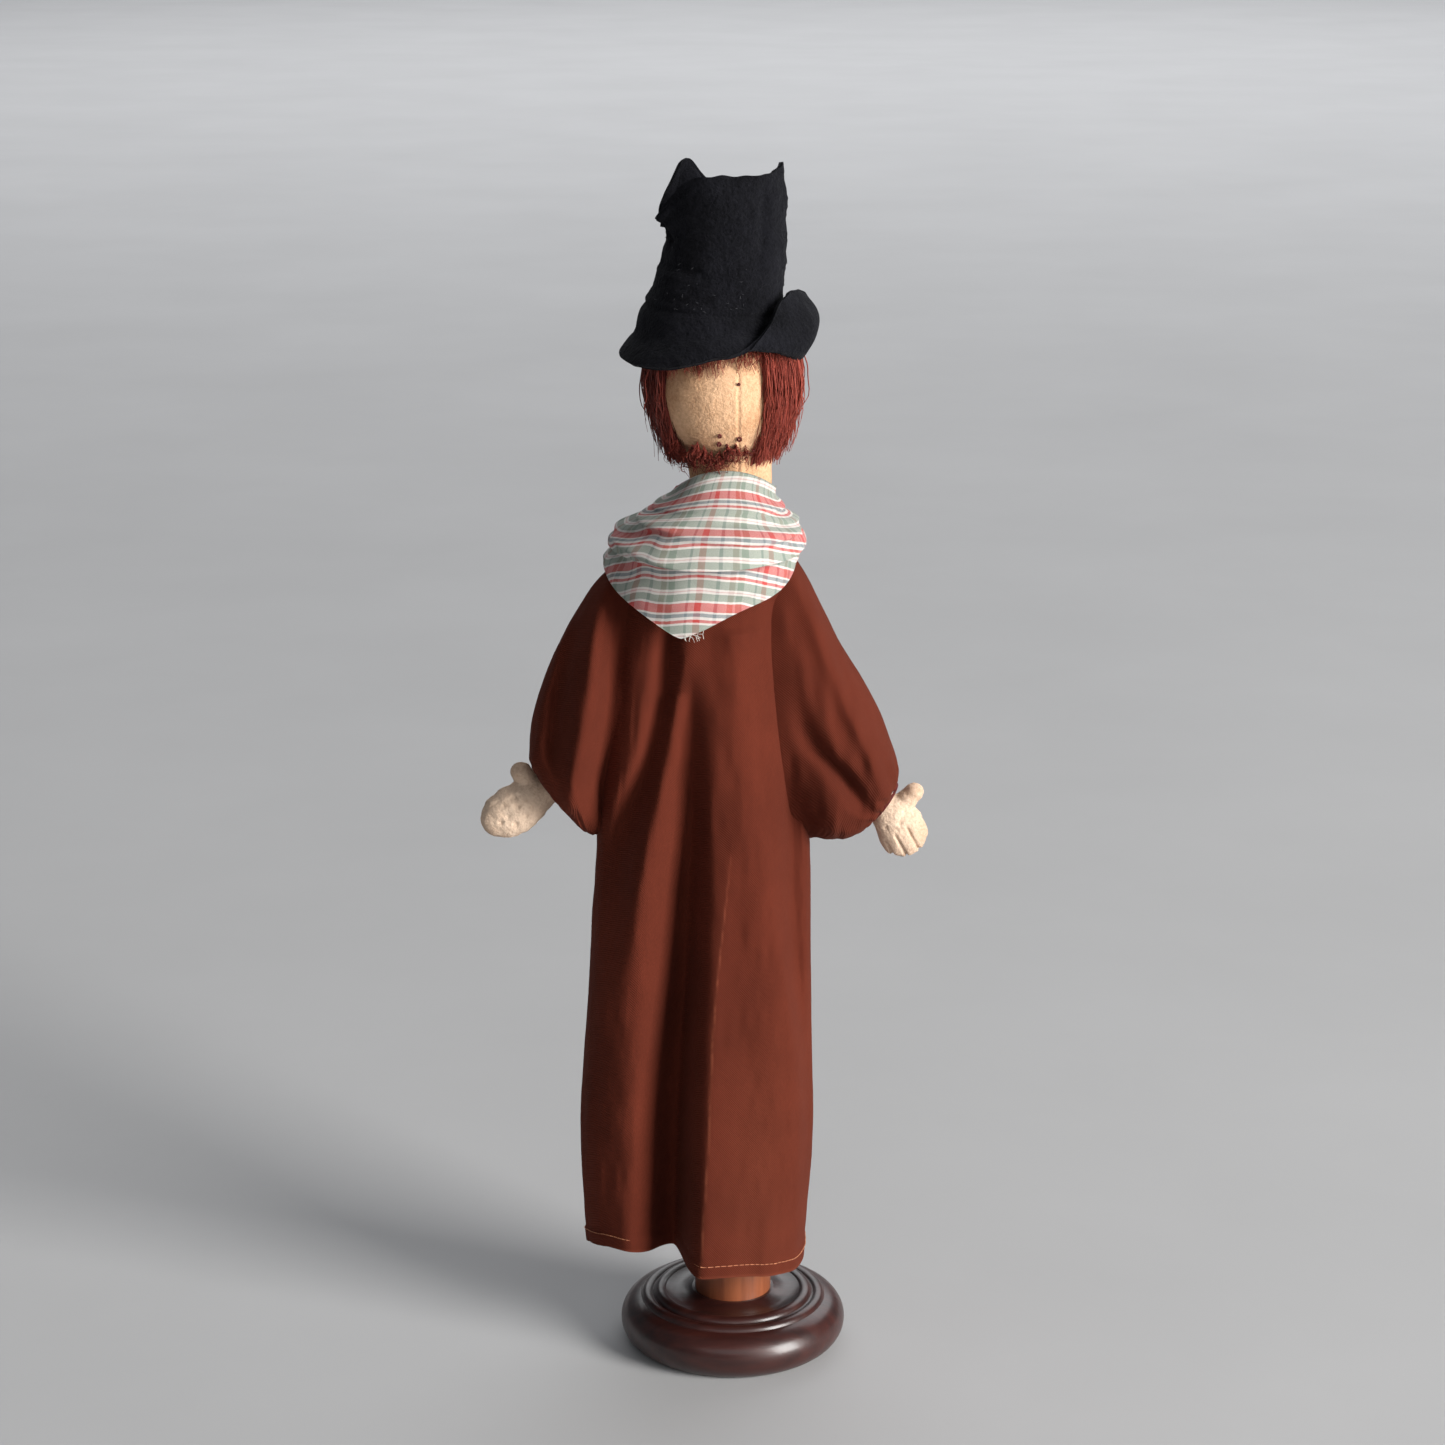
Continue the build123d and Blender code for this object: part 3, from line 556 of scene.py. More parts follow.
def sleeve_surface(side, along, turn):
    """A point on the sleeve's outside. turn 0 is the top edge, 0.25 the front and 0.75 the back."""
    tx, tz, bx, bz, depth = curve_through(along, SLEEVE_EDGES[side])
    c, s = np.cos(2 * math.pi * turn), np.sin(2 * math.pi * turn)
    x = (tx + bx) / 2 + (tx - bx) / 2 * c
    z = (tz + bz) / 2 + (tz - bz) / 2 * c
    y = depth * np.sign(s) * np.abs(s) ** 1.12
    near = np.clip(np.abs(s) * 1.6, 0, 1)
    folds = folded(x, z, SLEEVE_FOLDS[side])
    y = y + np.where(y < 0, -1, 0.8) * folds * near * step(along, 1.0, 0.9)
    pleats = 1.15 * np.sin(2 * math.pi * 15 * turn + 3 * noise(turn * 9, along * 4, 8, 9))
    gather = step(along, 0.80, 0.995) * pleats
    soft = 1.1 * noise(turn * 9, along * 6 + 2, 6, 9) + 0.5 * noise(turn * 25, along * 15, 7, 25)
    swell = gather + soft * step(along, 0.02, 0.2) * step(along, 1.02, 0.9)
    size = np.sqrt(((tx - bx) / 2) ** 2 + ((tz - bz) / 2) ** 2)
    x = x + swell * (tx - bx) / 2 / size * c
    z = z + swell * (tz - bz) / 2 / size * c
    y = y + swell * s
    return np.stack(np.broadcast_arrays(x, y, z), -1)


CUFF_RADIUS = 9.6
CUFF = {  # middle of the mouth, and the way it points
    "left": (np.array([-72.6, 0, 240.4]), np.array([-0.766, 0, -0.643])),
    "right": (np.array([60.0, 0, 234.2]), np.array([0.80, 0, -0.60])),
}
for side, outward in (("left", -1), ("right", 1)):
    along = np.linspace(0, 1, 130)[:, None] ** 0.92
    turn = np.linspace(0, 1, 200, endpoint=False)[None, :]
    p = sleeve_surface(side, along, turn)
    centre, axis = CUFF[side]
    lip = []
    for k in range(1, 9):
        ring = p[-1] - centre
        ring_out = ring - (ring @ axis)[:, None] * axis
        inward = 1 - 0.25 * min(1, k / 3)
        lip.append(centre + (ring @ axis)[:, None] * axis + ring_out * inward - axis * 1.7 * max(0, k - 2))
    p = np.concatenate([p, np.array(lip)])
    n = grid_normals(p[:100], True)
    away = np.sign((n[..., 1] * p[:100, :, 1]).mean())
    worn = np.zeros(p.shape[:2])
    worn[127:132] = 0.25
    sleeve = cloth(f"sleeve_{side}_cloth", p, 0.9, MAT["robe"], values={"wear_and_highlight": worn}, outward=away)
    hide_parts(f"sleeve_{side}")
    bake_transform(sleeve)
    # The gathering thread is wound round the wrist just inside the cuff's mouth
    a = np.linspace(0, 2 * math.pi * 2.1, 90)
    up = np.array([axis[2], 0, -axis[0]])
    wound = (centre + np.outer(np.cos(a), up) * CUFF_RADIUS + np.outer(np.sin(a), [0, 1, 0]) * CUFF_RADIUS
             + np.outer(a * 0.08 - 0.4, axis))
    thread = tubes(f"cuff_thread_{side}", [wound], np.full((1, 90), 0.32), MAT["dark_thread"], 6)
    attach(thread, f"arm_{side}")
    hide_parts(f"gathering_thread_{side}")


# ---- hands
def hand_object(side):
    """A felt mitten: palm, thumb and the grooves that part the fingers."""
    centre, _ = CUFF[side]
    lean = math.radians({"left": 27.0, "right": 63.0}[side])
    out = -1 if side == "left" else 1
    along = np.array([out * math.cos(lean), 0, -math.sin(lean)])
    up = np.array([out * math.sin(lean), 0, math.cos(lean)])
    if side == "left":
        balls = [(-2, 0, 5.2, 4.9), (3, 0, 5.9, 5.5), (8, 0.2, 7.8, 6.3), (13, -0.6, 9.2, 6.5),
                 (18, -1.4, 10.2, 6.6), (22, -1.8, 9.6, 6.4), (25.5, -2.0, 7.4, 5.6),
                 (7.6, 8.6, 4.0, 4.2), (8.4, 11.2, 4.2, 4.3)]
    else:
        balls = [(-3, -0.5, 5.2, 4.9), (2, 0, 6.0, 5.5), (7, 1.5, 8.6, 6.5), (12, 2.0, 9.6, 6.6),
                 (15.5, 1.6, 9.8, 6.5), (18.5, -3.6, 4.2, 4.6), (19.8, 2.0, 4.4, 4.6),
                 (18.0, 7.2, 4.0, 4.5), (3.5, 9.6, 4.2, 4.4), (2.2, 13.0, 3.9, 4.2)]
    parts = []
    for a, b, r, t in balls:
        bpy.ops.mesh.primitive_uv_sphere_add(segments=24, ring_count=16, radius=1.0)
        o = bpy.context.object
        co = np.array([v.co[:] for v in o.data.vertices])
        q = (centre + np.outer(a + co[:, 0] * r, along) + np.outer(b + co[:, 1] * r, up)
             + np.outer(co[:, 2] * t, [0, 1, 0]))
        o.data.vertices.foreach_set("co", (q * MM).ravel())
        parts.append(o)
    bpy.ops.object.select_all(action="DESELECT")
    for o in parts:
        o.select_set(True)
    bpy.context.view_layer.objects.active = parts[0]
    bpy.ops.object.join()
    obj = bpy.context.object
    remesh = obj.modifiers.new("remesh", "REMESH")
    remesh.mode, remesh.voxel_size = "VOXEL", 0.00055
    smooth = obj.modifiers.new("smooth", "SMOOTH")
    smooth.factor, smooth.iterations = 0.6, 14
    for m in ("remesh", "smooth"):
        bpy.ops.object.modifier_apply(modifier=m)
    co = np.array([v.co[:] for v in obj.data.vertices]) / MM - centre
    nm = np.array([v.normal[:] for v in obj.data.vertices])
    a, b, y = co @ along, co @ up, co[:, 1]
    dip = 0.22 * noise(a / 2.2, b / 2.2 + y / 3, 11)
    flat = np.abs(nm[:, 1])
    if side == "left":
        for da, db in ((14, -4.5), (15.5, 0.5), (14.5, 4.5), (19.5, -5.5), (21.0, -1.5), (20.0, 3.2),
                       (24.5, -2.5), (10, -2)):
            dip -= 0.8 * flat * np.exp(-((a - da) ** 2 + (b - db) ** 2) / 0.9)
    else:
        for db, start in ((-1.0, 11.0), (4.7, 10.5), (-6.0, 13.0)):
            dip -= 1.1 * bell(b - db, 0.55) * step(a, start, start + 4)
        for da, db in ((9, -3), (9.5, 3), (6.5, 6.5), (12, 0.8)):
            dip -= 0.6 * flat * np.exp(-((a - da) ** 2 + (b - db) ** 2) / 0.8)
    seam = 0.35 * bell(y, 0.55)
    co = (co + centre) + nm * (dip + seam)[:, None]
    obj.data.vertices.foreach_set("co", (co * MM).ravel())
    for poly in obj.data.polygons:
        poly.use_smooth = True
    obj.data.update()
    obj.name = f"hand_{side}_felt"
    obj.data.materials.clear()
    obj.data.materials.append(MAT["hand"])
    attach(obj, f"hand_{side}")
    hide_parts(f"hand_{side}_palm_felt", f"hand_{side}_back_felt", f"hand_{side}_stuffing")


for side in ("left", "right"):
    hand_object(side)


# ---- neckerchief
def kerchief_point(turn, down):
    """turn runs from 0 at the front, through 0.5 at the back; down from the neck edge to the free edge."""
    a = 2 * math.pi * turn
    sx, cy = -np.sin(a), np.cos(a)
    # Down the cloth: reach outwards to the side, to the back and to the front, height at side, back and front
    side_r, back_r, front_r, side_z, back_z, front_z, cx = curve_through(down, [
        (0.00, 19.7, 19.9, 19.8, 363.5, 373.5, 360, -2.9), (0.08, 21, 21.2, 21, 359.5, 368.5, 357.5, -4.6),
        (0.20, 24.8, 26, 24.5, 354.6, 361.5, 354, -6.2), (0.33, 32.4, 34, 27, 350.5, 354, 350.5, -8.8),
        (0.45, 37, 38.8, 28.5, 345.8, 346.1, 347.5, -10.4),
        (0.52, 38.2, 40.6, 29, 343.2, 341.5, 345.8, -10.8),
        (0.56, 38, 40.2, 29, 341, 338.9, 344.2, -10.9), (0.60, 37, 38.2, 28.6, 340.2, 338.6, 343.6, -11),
        (0.66, 36.6, 36.4, 28.4, 339.2, 336.3, 342.4, -11.2),
        (0.78, 37.2, 35.6, 28.8, 337, 327.6, 340.8, -12),
        (0.90, 37.8, 34.4, 29.2, 335, 318.3, 339.4, -13), (1.00, 38, 33.4, 29.4, 333.2, 310.4, 338.4, -13.4)])
    w_back, w_front = np.clip(-np.cos(a), 0, 1) ** 1.6, np.clip(np.cos(a), 0, 1) ** 1.2
    # The free edge runs to a point off to the left of the middle
    point_at = (turn - 0.5) * 2 * math.pi + 0.16
    peak = np.exp(-np.abs(point_at / 0.62) ** 1.35)
    low = step(down, 0.6, 1.0)
    z = side_z * (1 - w_back - w_front) + back_z * w_back + front_z * w_front
    z_edge = side_z + (back_z - side_z) * (0.22 * w_back + 0.80 * peak)
    z = z * (1 - low * (w_back > 0)) + (z_edge * w_back + z * (1 - w_back)) * low * (w_back > 0)
    reach_y = np.where(cy < 0, back_r, front_r)
    x = cx + side_r * np.sign(sx) * np.abs(sx) ** 0.92
    y = reach_y * cy
    return x, y, z


rows, cols = 120, 320
down = np.linspace(0, 1, rows)[:, None]
turn = np.linspace(0, 1, cols, endpoint=False)[None, :]
x, y, z = kerchief_point(turn, down)
slack = step(down, 0.05, 0.3) * step(down, 1.02, 0.9)
wave = 0.9 * noise(turn * 12, down * 5, 21, 12) + 0.4 * noise(turn * 30, down * 12, 22, 30)
fold_a = 2.9 * bump(down - 0.30 - 0.11 * np.sin(2 * math.pi * (turn - 0.36)), 0.085, 0.028)
fold_b = 2.4 * bump(down - 0.15 - 0.08 * np.sin(2 * math.pi * (turn - 0.27)), 0.060, 0.022)
fold_c = -1.7 * bump(down - 0.41 + 0.09 * np.cos(2 * math.pi * (turn - 0.57)), 0.03, 0.035)
fold_d = 2.2 * bump(down - 0.50 - 0.10 * np.cos(2 * math.pi * (turn - 0.62)), 0.050, 0.020)
push = slack * wave + fold_a + fold_b + fold_c + fold_d
radial = np.stack([x + 6, y], -1)
radial /= np.linalg.norm(radial, axis=-1, keepdims=True)
p = np.stack([x + radial[..., 0] * push, y + radial[..., 1] * push, z + 0 * turn], -1)
seg = np.linalg.norm(np.diff(p, axis=0), axis=-1)
length_down = np.concatenate([np.zeros((1, cols)), np.cumsum(seg, 0)])
round_at = np.linalg.norm(np.diff(p[60], axis=0), axis=-1)
around = np.concatenate([[0], np.cumsum(round_at)])[None, :] + 0 * length_down
skew = 2.5 * np.sin(2 * math.pi * (turn - 0.45))
uv = np.stack([around, length_down + 9.6 + skew], -1)
kerchief = cloth("kerchief_cloth", p, 0.9, MAT["check"], uv=uv, outward=outward_sign(p, -6))
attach(kerchief, "torso")

# Knot and two tails at the throat
u = np.linspace(0, 2 * math.pi, 48, endpoint=False)[None, :]
v = np.linspace(0.02, math.pi - 0.02, 26)[:, None]
pinch = 1 + 0.10 * np.cos(3 * u + 2 * v) + 0.06 * noise(u / 2 / math.pi * 9, v * 3, 31, 9)
knot = np.stack([-6 + 7.4 * np.sin(v) * np.cos(u) * pinch, 31.5 + 5.2 * np.sin(v) * np.sin(u) * pinch,
                 350 + 6.2 * np.cos(v) * pinch + 0 * u], -1)
knot_uv = np.stack([u * 5 + 0 * v, v * 7 + 0 * u], -1)
knot_object = cloth("kerchief_knot", knot, 0.5, MAT["check"], uv=knot_uv,
                    outward=np.sign((grid_normals(knot, True)[..., 1] * (knot[..., 1] - 31.5)).mean()))
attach(knot_object, "torso")
for sign in (-1, 1):
    t = np.linspace(0, 1, 40)[:, None]
    across = np.linspace(-1, 1, 22)[None, :]
    width = 2.6 + 9.5 * t ** 0.8
    slant = sign * (3 + 19 * t)
    z = 348 - 31 * t + 3.0 * across * t * sign
    x = -6 + slant + width * across * 0.9
    y = 33.5 + 2.5 * t + 1.3 * np.cos(across * 2.6 + sign) * t + 0.5 * noise(across * 3 + 9, t * 5, 33)
    p = np.stack(np.broadcast_arrays(x, y, z), -1)
    n = grid_normals(p, False)
    tail = cloth(f"kerchief_tail_{'left' if sign < 0 else 'right'}", p, 0.8, MAT["check"], wrap=False,
                 uv=np.stack(np.broadcast_arrays(x + 6 * z, 350 - z), -1), outward=np.sign(n[..., 1].mean()))
    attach(tail, "torso")
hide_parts("neckerchief")


# ---- head
def head_surface(turn, polar):
    """The felt head. turn runs round from +X; polar from the crown (0) to the chin and neck (1)."""
    a = 2 * math.pi * turn
    w, z, cx, cy = curve_through(polar, [
        (0, 0.6, 441.3, -4, 0), (0.08, 11, 439.4, -4, 0), (0.18, 18.6, 433, -4, 0),
        (0.30, 24.2, 424, -4, 0), (0.42, 26.9, 412.5, -4, 0), (0.53, 27.2, 401.5, -3.8, 0),
        (0.63, 25.3, 391.5, -3.2, 0), (0.72, 21.3, 383.8, -2.8, 0), (0.79, 18, 378.6, -2.2, 0),
        (0.86, 16.4, 373, -1.6, 0), (0.93, 15.8, 365, -0.9, 0), (1, 15.5, 353, 0, 0)])
    x = cx + w * np.cos(a)
    y = cy + w * np.sin(a) * (1.0 - 0.03 * np.sin(a))
    front = np.clip(np.sin(a), 0, 1)
    # Soft cheeks, chin and brow
    cheek = np.exp(-((np.abs(x + 4) - 12) / 6.5) ** 2 - ((z - 400) / 7) ** 2) * front
    chin = np.exp(-((x + 4) / 8.5) ** 2 - ((z - 386.5) / 4.5) ** 2) * front
    socket = np.exp(-((np.abs(x + 4) - 9.5) / 4.4) ** 2 - ((z - 412) / 4) ** 2) * front
    y = y + 2.0 * cheek + 1.8 * chin - 1.3 * socket
    dent = 0.35 * noise(turn * 9, z / 11, 41, 9) + 0.18 * noise(turn * 28, z / 4, 42, 28)
    back_seam = bell(x - 1.8, 0.5) * (y < 0)
    beside = bell(np.abs(x - 1.8) - 1.3, 0.8) * (y < 0)
    swell = dent - 0.42 * back_seam + 0.12 * beside
    return np.stack(np.broadcast_arrays(x + swell * np.cos(a), y + swell * np.sin(a), z), -1)


p = head_surface(np.linspace(0, 1, 360, endpoint=False)[None, :], np.linspace(0, 1, 200)[:, None])
head = cloth("head_felt", p, 1.2, MAT["skin"], outward=outward_sign(p, -3))
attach(head, "head")
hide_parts("head_felt_left", "head_felt_right", "head_stuffing")


def on_head(x, z, front, lift=0.0):
    """Where the head's surface is at (x, z), on the front or the back."""
    w, cx = curve_through(np.array([z]), [
        (353, 16.2, 0), (373, 16.6, -0.7), (378.6, 17.9, -1.4), (383.8, 21.3, -2.3), (391.5, 25.3, -3.2),
        (401.5, 27.2, -3.8), (412.5, 26.9, -4), (424, 24.2, -4), (433, 18.6, -4)])
    y = math.sqrt(max(0.0, (w[0] + lift) ** 2 - (x - cx[0]) ** 2))
    return np.array([x, 0.97 * y if front else -1.03 * y, z])


def ball(name, centre, size, material):
    bpy.ops.mesh.primitive_uv_sphere_add(segments=32, ring_count=16, radius=1.0)
    o = bpy.context.object
    o.name = name
    co = np.array([v.co[:] for v in o.data.vertices]) * np.array(size) + np.array(centre)
    o.data.vertices.foreach_set("co", (co * MM).ravel())
    for poly in o.data.polygons:
        poly.use_smooth = True
    o.data.materials.append(material)
    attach(o, "head")
    return o


nose = ball("nose_felt", (-4, 28.6, 403.5), (4.6, 5.0, 4.8), MAT["skin"])
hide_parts("nose")
EYE_X = {"left": -13.5, "right": 5.5}
for side, x in EYE_X.items():
    at = on_head(x, 412.0, True, -0.9)
    eye = ball(f"eye_{side}_bead", at, (2.1, 1.7, 2.3), MAT["bead"])
    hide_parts(f"eye_{side}")
    cheek = ball(f"cheek_{side}_felt", on_head(x * 1.12, 400.0, True, 1.6), (4.0, 0.9, 4.0), MAT["blush"])
smile = [on_head(x, 392.5 + 3.2 * ((x + 4) / 8.5) ** 2, True, 1.7) for x in np.linspace(-12.5, 4.5, 34)]
brows = [[on_head(x + d, 418.2 - 1.2 * (d / 4.5) ** 2, True, 0.2) for d in np.linspace(-4.5, 4.5, 34)]
         for x in EYE_X.values()]
face_lines = np.array([smile] + brows)
radii = np.stack([np.full(34, 0.75), np.full(34, 0.6), np.full(34, 0.6)])
face_stitches = tubes("face_stitching", face_lines, radii, MAT["dark_thread"], 6)
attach(face_stitches, "head")
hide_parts("mouth")


# ---- hair
def strand_set(name, count, root, tip, spread, curl, width, seed, tone_and_painted_shade=(0.25, 1.0), steps=12, wisps=0.0):
    """Loose strands from root(k) to tip(k); both give points for a share 0..1 round the hank."""
    r = np.random.RandomState(seed)
    t = np.linspace(0, 1, steps)[None, :, None]
    k = r.uniform(0, 1, count)
    a, c = root(k, r), tip(k, r)
    c = c + r.normal(0, 1, c.shape) * np.array(spread)
    bow = (a + c) / 2 - np.array([-4, 0, 0])
    bow[:, 2] = 0
    bow /= np.linalg.norm(bow, axis=1, keepdims=True)
    sag = r.uniform(0.2, 1.4, (count, 1, 1))
    line = a[:, None] * (1 - t) + c[:, None] * t + bow[:, None] * np.sin(math.pi * t) * sag * 2.2
    phase = r.uniform(0, 6.28, (count, 1, 3))
    line = line + curl * t * np.sin(phase + t * r.uniform(6, 15, (count, 1, 3)))
    if wisps:
        stray = r.uniform(0, 1, count) < wisps
        line[stray] += (bow[stray][:, None] * t * r.uniform(0.5, 4.0, (int(stray.sum()), 1, 1)))
    radius = width * r.uniform(0.6, 1.2, (count, 1)) * (1 - 0.55 * t[..., 0] ** 2)
    tone = r.uniform(tone_and_painted_shade[0], tone_and_painted_shade[1], count)
    obj = tubes(name, line, radius, MAT["hair"], 3, {"tone_and_painted_shade": tone})
    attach(obj, "head")
    return obj


def round_head(angle, out, z):
    """A point beside the head: angle in degrees from -Y (behind) towards -X."""
    a = np.radians(angle)
    w = out + curve_through(z, [(370, 17), (376, 18.5), (383, 22.0), (391, 25.6), (401, 27.4), (412, 27.3),
                                (424, 25.5), (436, 17)])[0]
    return np.stack([-4 - w * np.sin(a), -w * np.cos(a), z + 0 * w], -1)


def beside_head(angle, out, z):
    """Points beside the head at angle(k), their reach and height drawn between two limits."""
    return lambda k, r: round_head(angle(k), r.uniform(*out, k.size), r.uniform(*z, k.size))


def hank(name, low_angle, high_angle, count, seed, tone_and_painted_shade):
    """A hank of mohair hanging from under the hat down one side of the head."""
    def angle(k):
        return low_angle + (high_angle - low_angle) * k

    def tip(k, r):
        long = r.uniform(0, 1, k.size) < 0.7
        ends = np.where(long, r.uniform(374.5, 384, k.size), r.uniform(384, 396, k.size))
        return round_head(angle(k), r.uniform(0.0, 3.0, k.size), ends)

    root = beside_head(angle, (0.2, 3.2), (416, 426))
    return strand_set(name, count, root, tip, (1.0, 1.1, 0.9), 0.75, 0.26, seed, tone_and_painted_shade, wisps=0.10)


# Each strand's tone varies at random, and the left hank's tones are drawn lower than the right's: painted
# shade on the side away from the light.
hair_left = hank("hair_left_strands", 54, 132, 1150, 51, (0.0, 0.55))
hair_right = hank("hair_right_strands", -33, -132, 1700, 52, (0.30, 1.0))
for obj, node in ((hair_left, "hair_left"), (hair_right, "hair_right")):
    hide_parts(node)

# A dense mass under the strands, so that no felt shows through them
for side, a0, a1 in (("left", 57, 128), ("right", -35, -128)):
    t = np.linspace(0, 1, 60)[None, :]
    zz = np.linspace(426, 378.5, 60)[:, None]
    edge = np.minimum(1, 6 * np.minimum(t, 1 - t))
    out = 0.2 + (1.9 + 0.4 * noise(t * 30, zz / 30, 53)) * edge * np.minimum(1, (zz - 378) / 6 + 0.15)
    end = 5 * noise(t * 12, zz * 0, 55)
    p = round_head(a0 + (a1 - a0) * t + 0 * zz, out, zz + end * step(zz, 392, 378))
    # The left mass is given a darker tone than the right: painted shade on the side away from the light, with
    # random tone on top.
    tone_and_painted_shade = np.full(p.shape[:2], 0.05 if side == "left" else 0.3) + 0.25 * noise(t * 40, zz / 20, 54)
    mass = cloth(f"hair_{side}_mass", p, 0.6, MAT["hair"], wrap=False, outward=outward_sign(p, -4, False),
                 values={"tone_and_painted_shade": tone_and_painted_shade})
    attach(mass, "head")


def nape_turn(k):
    """Tufts stand in clumps across the nape, closest together on the left."""
    clump = np.round(k * 13) / 13
    return -24 + 92 * (0.75 * clump + 0.25 * k) ** 0.8


nape = strand_set(
    "hair_nape_tufts", 460,
    lambda k, r: round_head(nape_turn(k), r.uniform(-0.2, 0.6, k.size),
                            381.5 + 2.2 * np.sin(17 * k) + r.uniform(-1.5, 1.5, k.size)),
    lambda k, r: round_head(nape_turn(k) + r.uniform(-6, 6, k.size), r.uniform(0.6, 2.6, k.size),
                            376.5 + 2.4 * np.sin(17 * k) + r.uniform(-3, 3, k.size)),
    (1.3, 0.7, 0.9), 1.1, 0.19, 61, (0.05, 0.8), 9)
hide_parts("hair_nape")
fringe = strand_set(
    "hair_front_strands", 520,
    beside_head(lambda k: 140 + 80 * k, (0.0, 2.6), (421, 427)),
    beside_head(lambda k: 140 + 80 * k, (0.4, 2.4), (413.5, 419)),
    (1.0, 0.4, 0.9), 0.6, 0.28, 62, (0.2, 0.9), 9)
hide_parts("hair_front")
under_hat = strand_set(
    "hair_under_brim", 380,
    beside_head(lambda k: -62 + 120 * k, (0.0, 1.2), (420, 428)),
    lambda k, r: round_head(-62 + 120 * k, r.uniform(0.2, 1.4, k.size),
                            r.uniform(412.5, 420, k.size) - 6.0 * np.abs(k - 0.4) ** 0.8),
    (1.3, 0.5, 0.9), 0.8, 0.17, 63, (0.3, 1.0), 9)
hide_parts("hair_crown")

# Ends of dark thread where the hair was sewn on, on the back of the head
spots = [(-5.4, 388.0, 1.0), (-5.6, 384.4, 1.15), (2.2, 386.6, 1.3), (5.0, 380.6, 0.55),
         (6.6, 379.4, 0.5), (7.6, 381.2, 0.5), (4.2, 379.6, 0.45), (1.9, 408.6, 0.6), (-2.6, 384.0, 0.5)]
knots = []
for x, z, r in spots:
    c = on_head(x, z, False, 0.75)
    turn_ = np.linspace(0, 2 * math.pi * 1.4, 10)
    knots.append(np.stack([c[0] + np.cos(turn_) * r * 0.6, np.full(10, c[1] - 0.2) - 0.25 * np.sin(turn_),
                           c[2] + np.sin(turn_) * r * 0.6], -1))
tufts = tubes("thread_ends", np.array(knots), np.full((len(knots), 10), 0.42), MAT["dark_thread"], 5)
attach(tufts, "head")


# ---- hat
# Round the hat by angle in degrees: 0 is behind (-Y), 90 the left (-X), 180 the front, 270 the right.
TOP_EDGE = [(0, -8.5, -21.5, 486.4), (22, -16.5, -19.5, 484.6), (48, -24, -13.5, 478.5),
            (70, -31.2, -6.5, 469), (86, -27, 0.5, 475.5), (104, -22.2, 6.5, 485),
            (118, -17.9, 9.8, 490.4), (134, -12.5, 12.5, 484.5), (165, -2, 16.5, 474.5),
            (200, 6, 16, 472.5), (232, 13.5, 11, 478), (258, 17.6, 3, 487), (270, 18.4, -1, 489.7),
            (286, 16.4, -7, 487.6), (318, 9.5, -16, 486.4), (340, 1, -20, 486.4)]
BRIM_MIDDLE = [(0, -9.5, -33, 427.2), (25, -22, -31.5, 425), (55, -33, -23, 424), (90, -38.5, -4, 424.8),
               (125, -34, 18, 426), (180, -7, 32.5, 427), (225, 14, 26, 424), (255, 24, 12, 417.5),
               (275, 25, -2, 415.6), (292, 22, -14, 418.2), (315, 13.5, -25.5, 425), (338, 2, -31.5, 427.8)]
BRIM_ROLL = [(0, -9.5, -36.8, 423.2), (25, -23, -36, 420.6), (55, -36, -26.5, 419.6), (90, -42, -4, 420.8),
             (125, -37, 21, 422), (180, -7, 37.5, 424), (225, 18, 31, 424.5), (248, 29.4, 17, 428),
             (266, 31, 4, 429.6), (284, 29.8, -10.5, 427.4), (300, 25, -20.5, 422.6),
             (318, 15, -30, 423), (338, 2.2, -35.4, 424.2)]
BRIM_EDGE = [(0, -9.5, -39.8, 419.6), (25, -23.5, -39.2, 416.9), (55, -37.5, -29, 416.2),
             (90, -44.2, -4, 417), (125, -39, 23, 419), (180, -7, 41, 421.5), (225, 18, 33.5, 427),
             (246, 27.2, 17, 433), (261, 26.6, 6, 437.6), (276, 23, -5, 440.4), (291, 20, -13.5, 441),
             (306, 17, -21, 438.6), (320, 12.6, -28.5, 430.5), (338, 2.3, -38.2, 422.9)]


def round_keys(keys, degrees):
    """Periodic smooth curve through (degrees, x, y, z) keys."""
    first = [(k[0] + 360, *k[1:]) for k in keys[:4]]
    last = [(k[0] - 360, *k[1:]) for k in keys[-4:]]
    return np.stack(curve_through(degrees, last + keys + first), -1)


def oval_ring(degrees, cx, cy, a, b, z, tilt=0.0):
    r = np.radians(degrees)
    return np.stack([cx - a * np.sin(r), cy - b * np.cos(r), z + tilt * -np.sin(r)], -1)


cols = 360
deg = np.linspace(0, 360, cols, endpoint=False)
seam = oval_ring(deg, -7.6, -0.5, 26.2, 27.4, 434.6, -1.6)
rings = [seam, oval_ring(deg, -5.6, -0.3, 25.0, 25.2, 445.0, -0.5),
         oval_ring(deg, -3.0, 0.0, 23.7, 23.2, 459.0), None,
         round_keys(TOP_EDGE, deg)]
rings[3] = oval_ring(deg, -2.2, -0.8, 23.6, 21.6, 470.0) * 0.62 + 0.38 * (rings[4] + np.array([0, 0, -13.0]))
at = [0.0, 0.2, 0.46, 0.72, 1.0]
keys = [(a, *r.ravel()) for a, r in zip(at, rings)]
crown_rows = 150
share = np.linspace(0, 1, crown_rows)
crown = np.stack(curve_through(share, keys), -1).reshape(crown_rows, cols, 3)
turn = deg[None, :] / 360
up = share[:, None]
centre = crown.mean(1, keepdims=True)
out = crown - centre
out[..., 2] = 0
out /= np.linalg.norm(out, axis=-1, keepdims=True)
lumps = (0.9 * noise(turn * 7, up * 5, 71, 7) + 0.5 * noise(turn * 17, up * 12, 72, 17)
         + 0.22 * noise(turn * 45, up * 36, 73, 45))
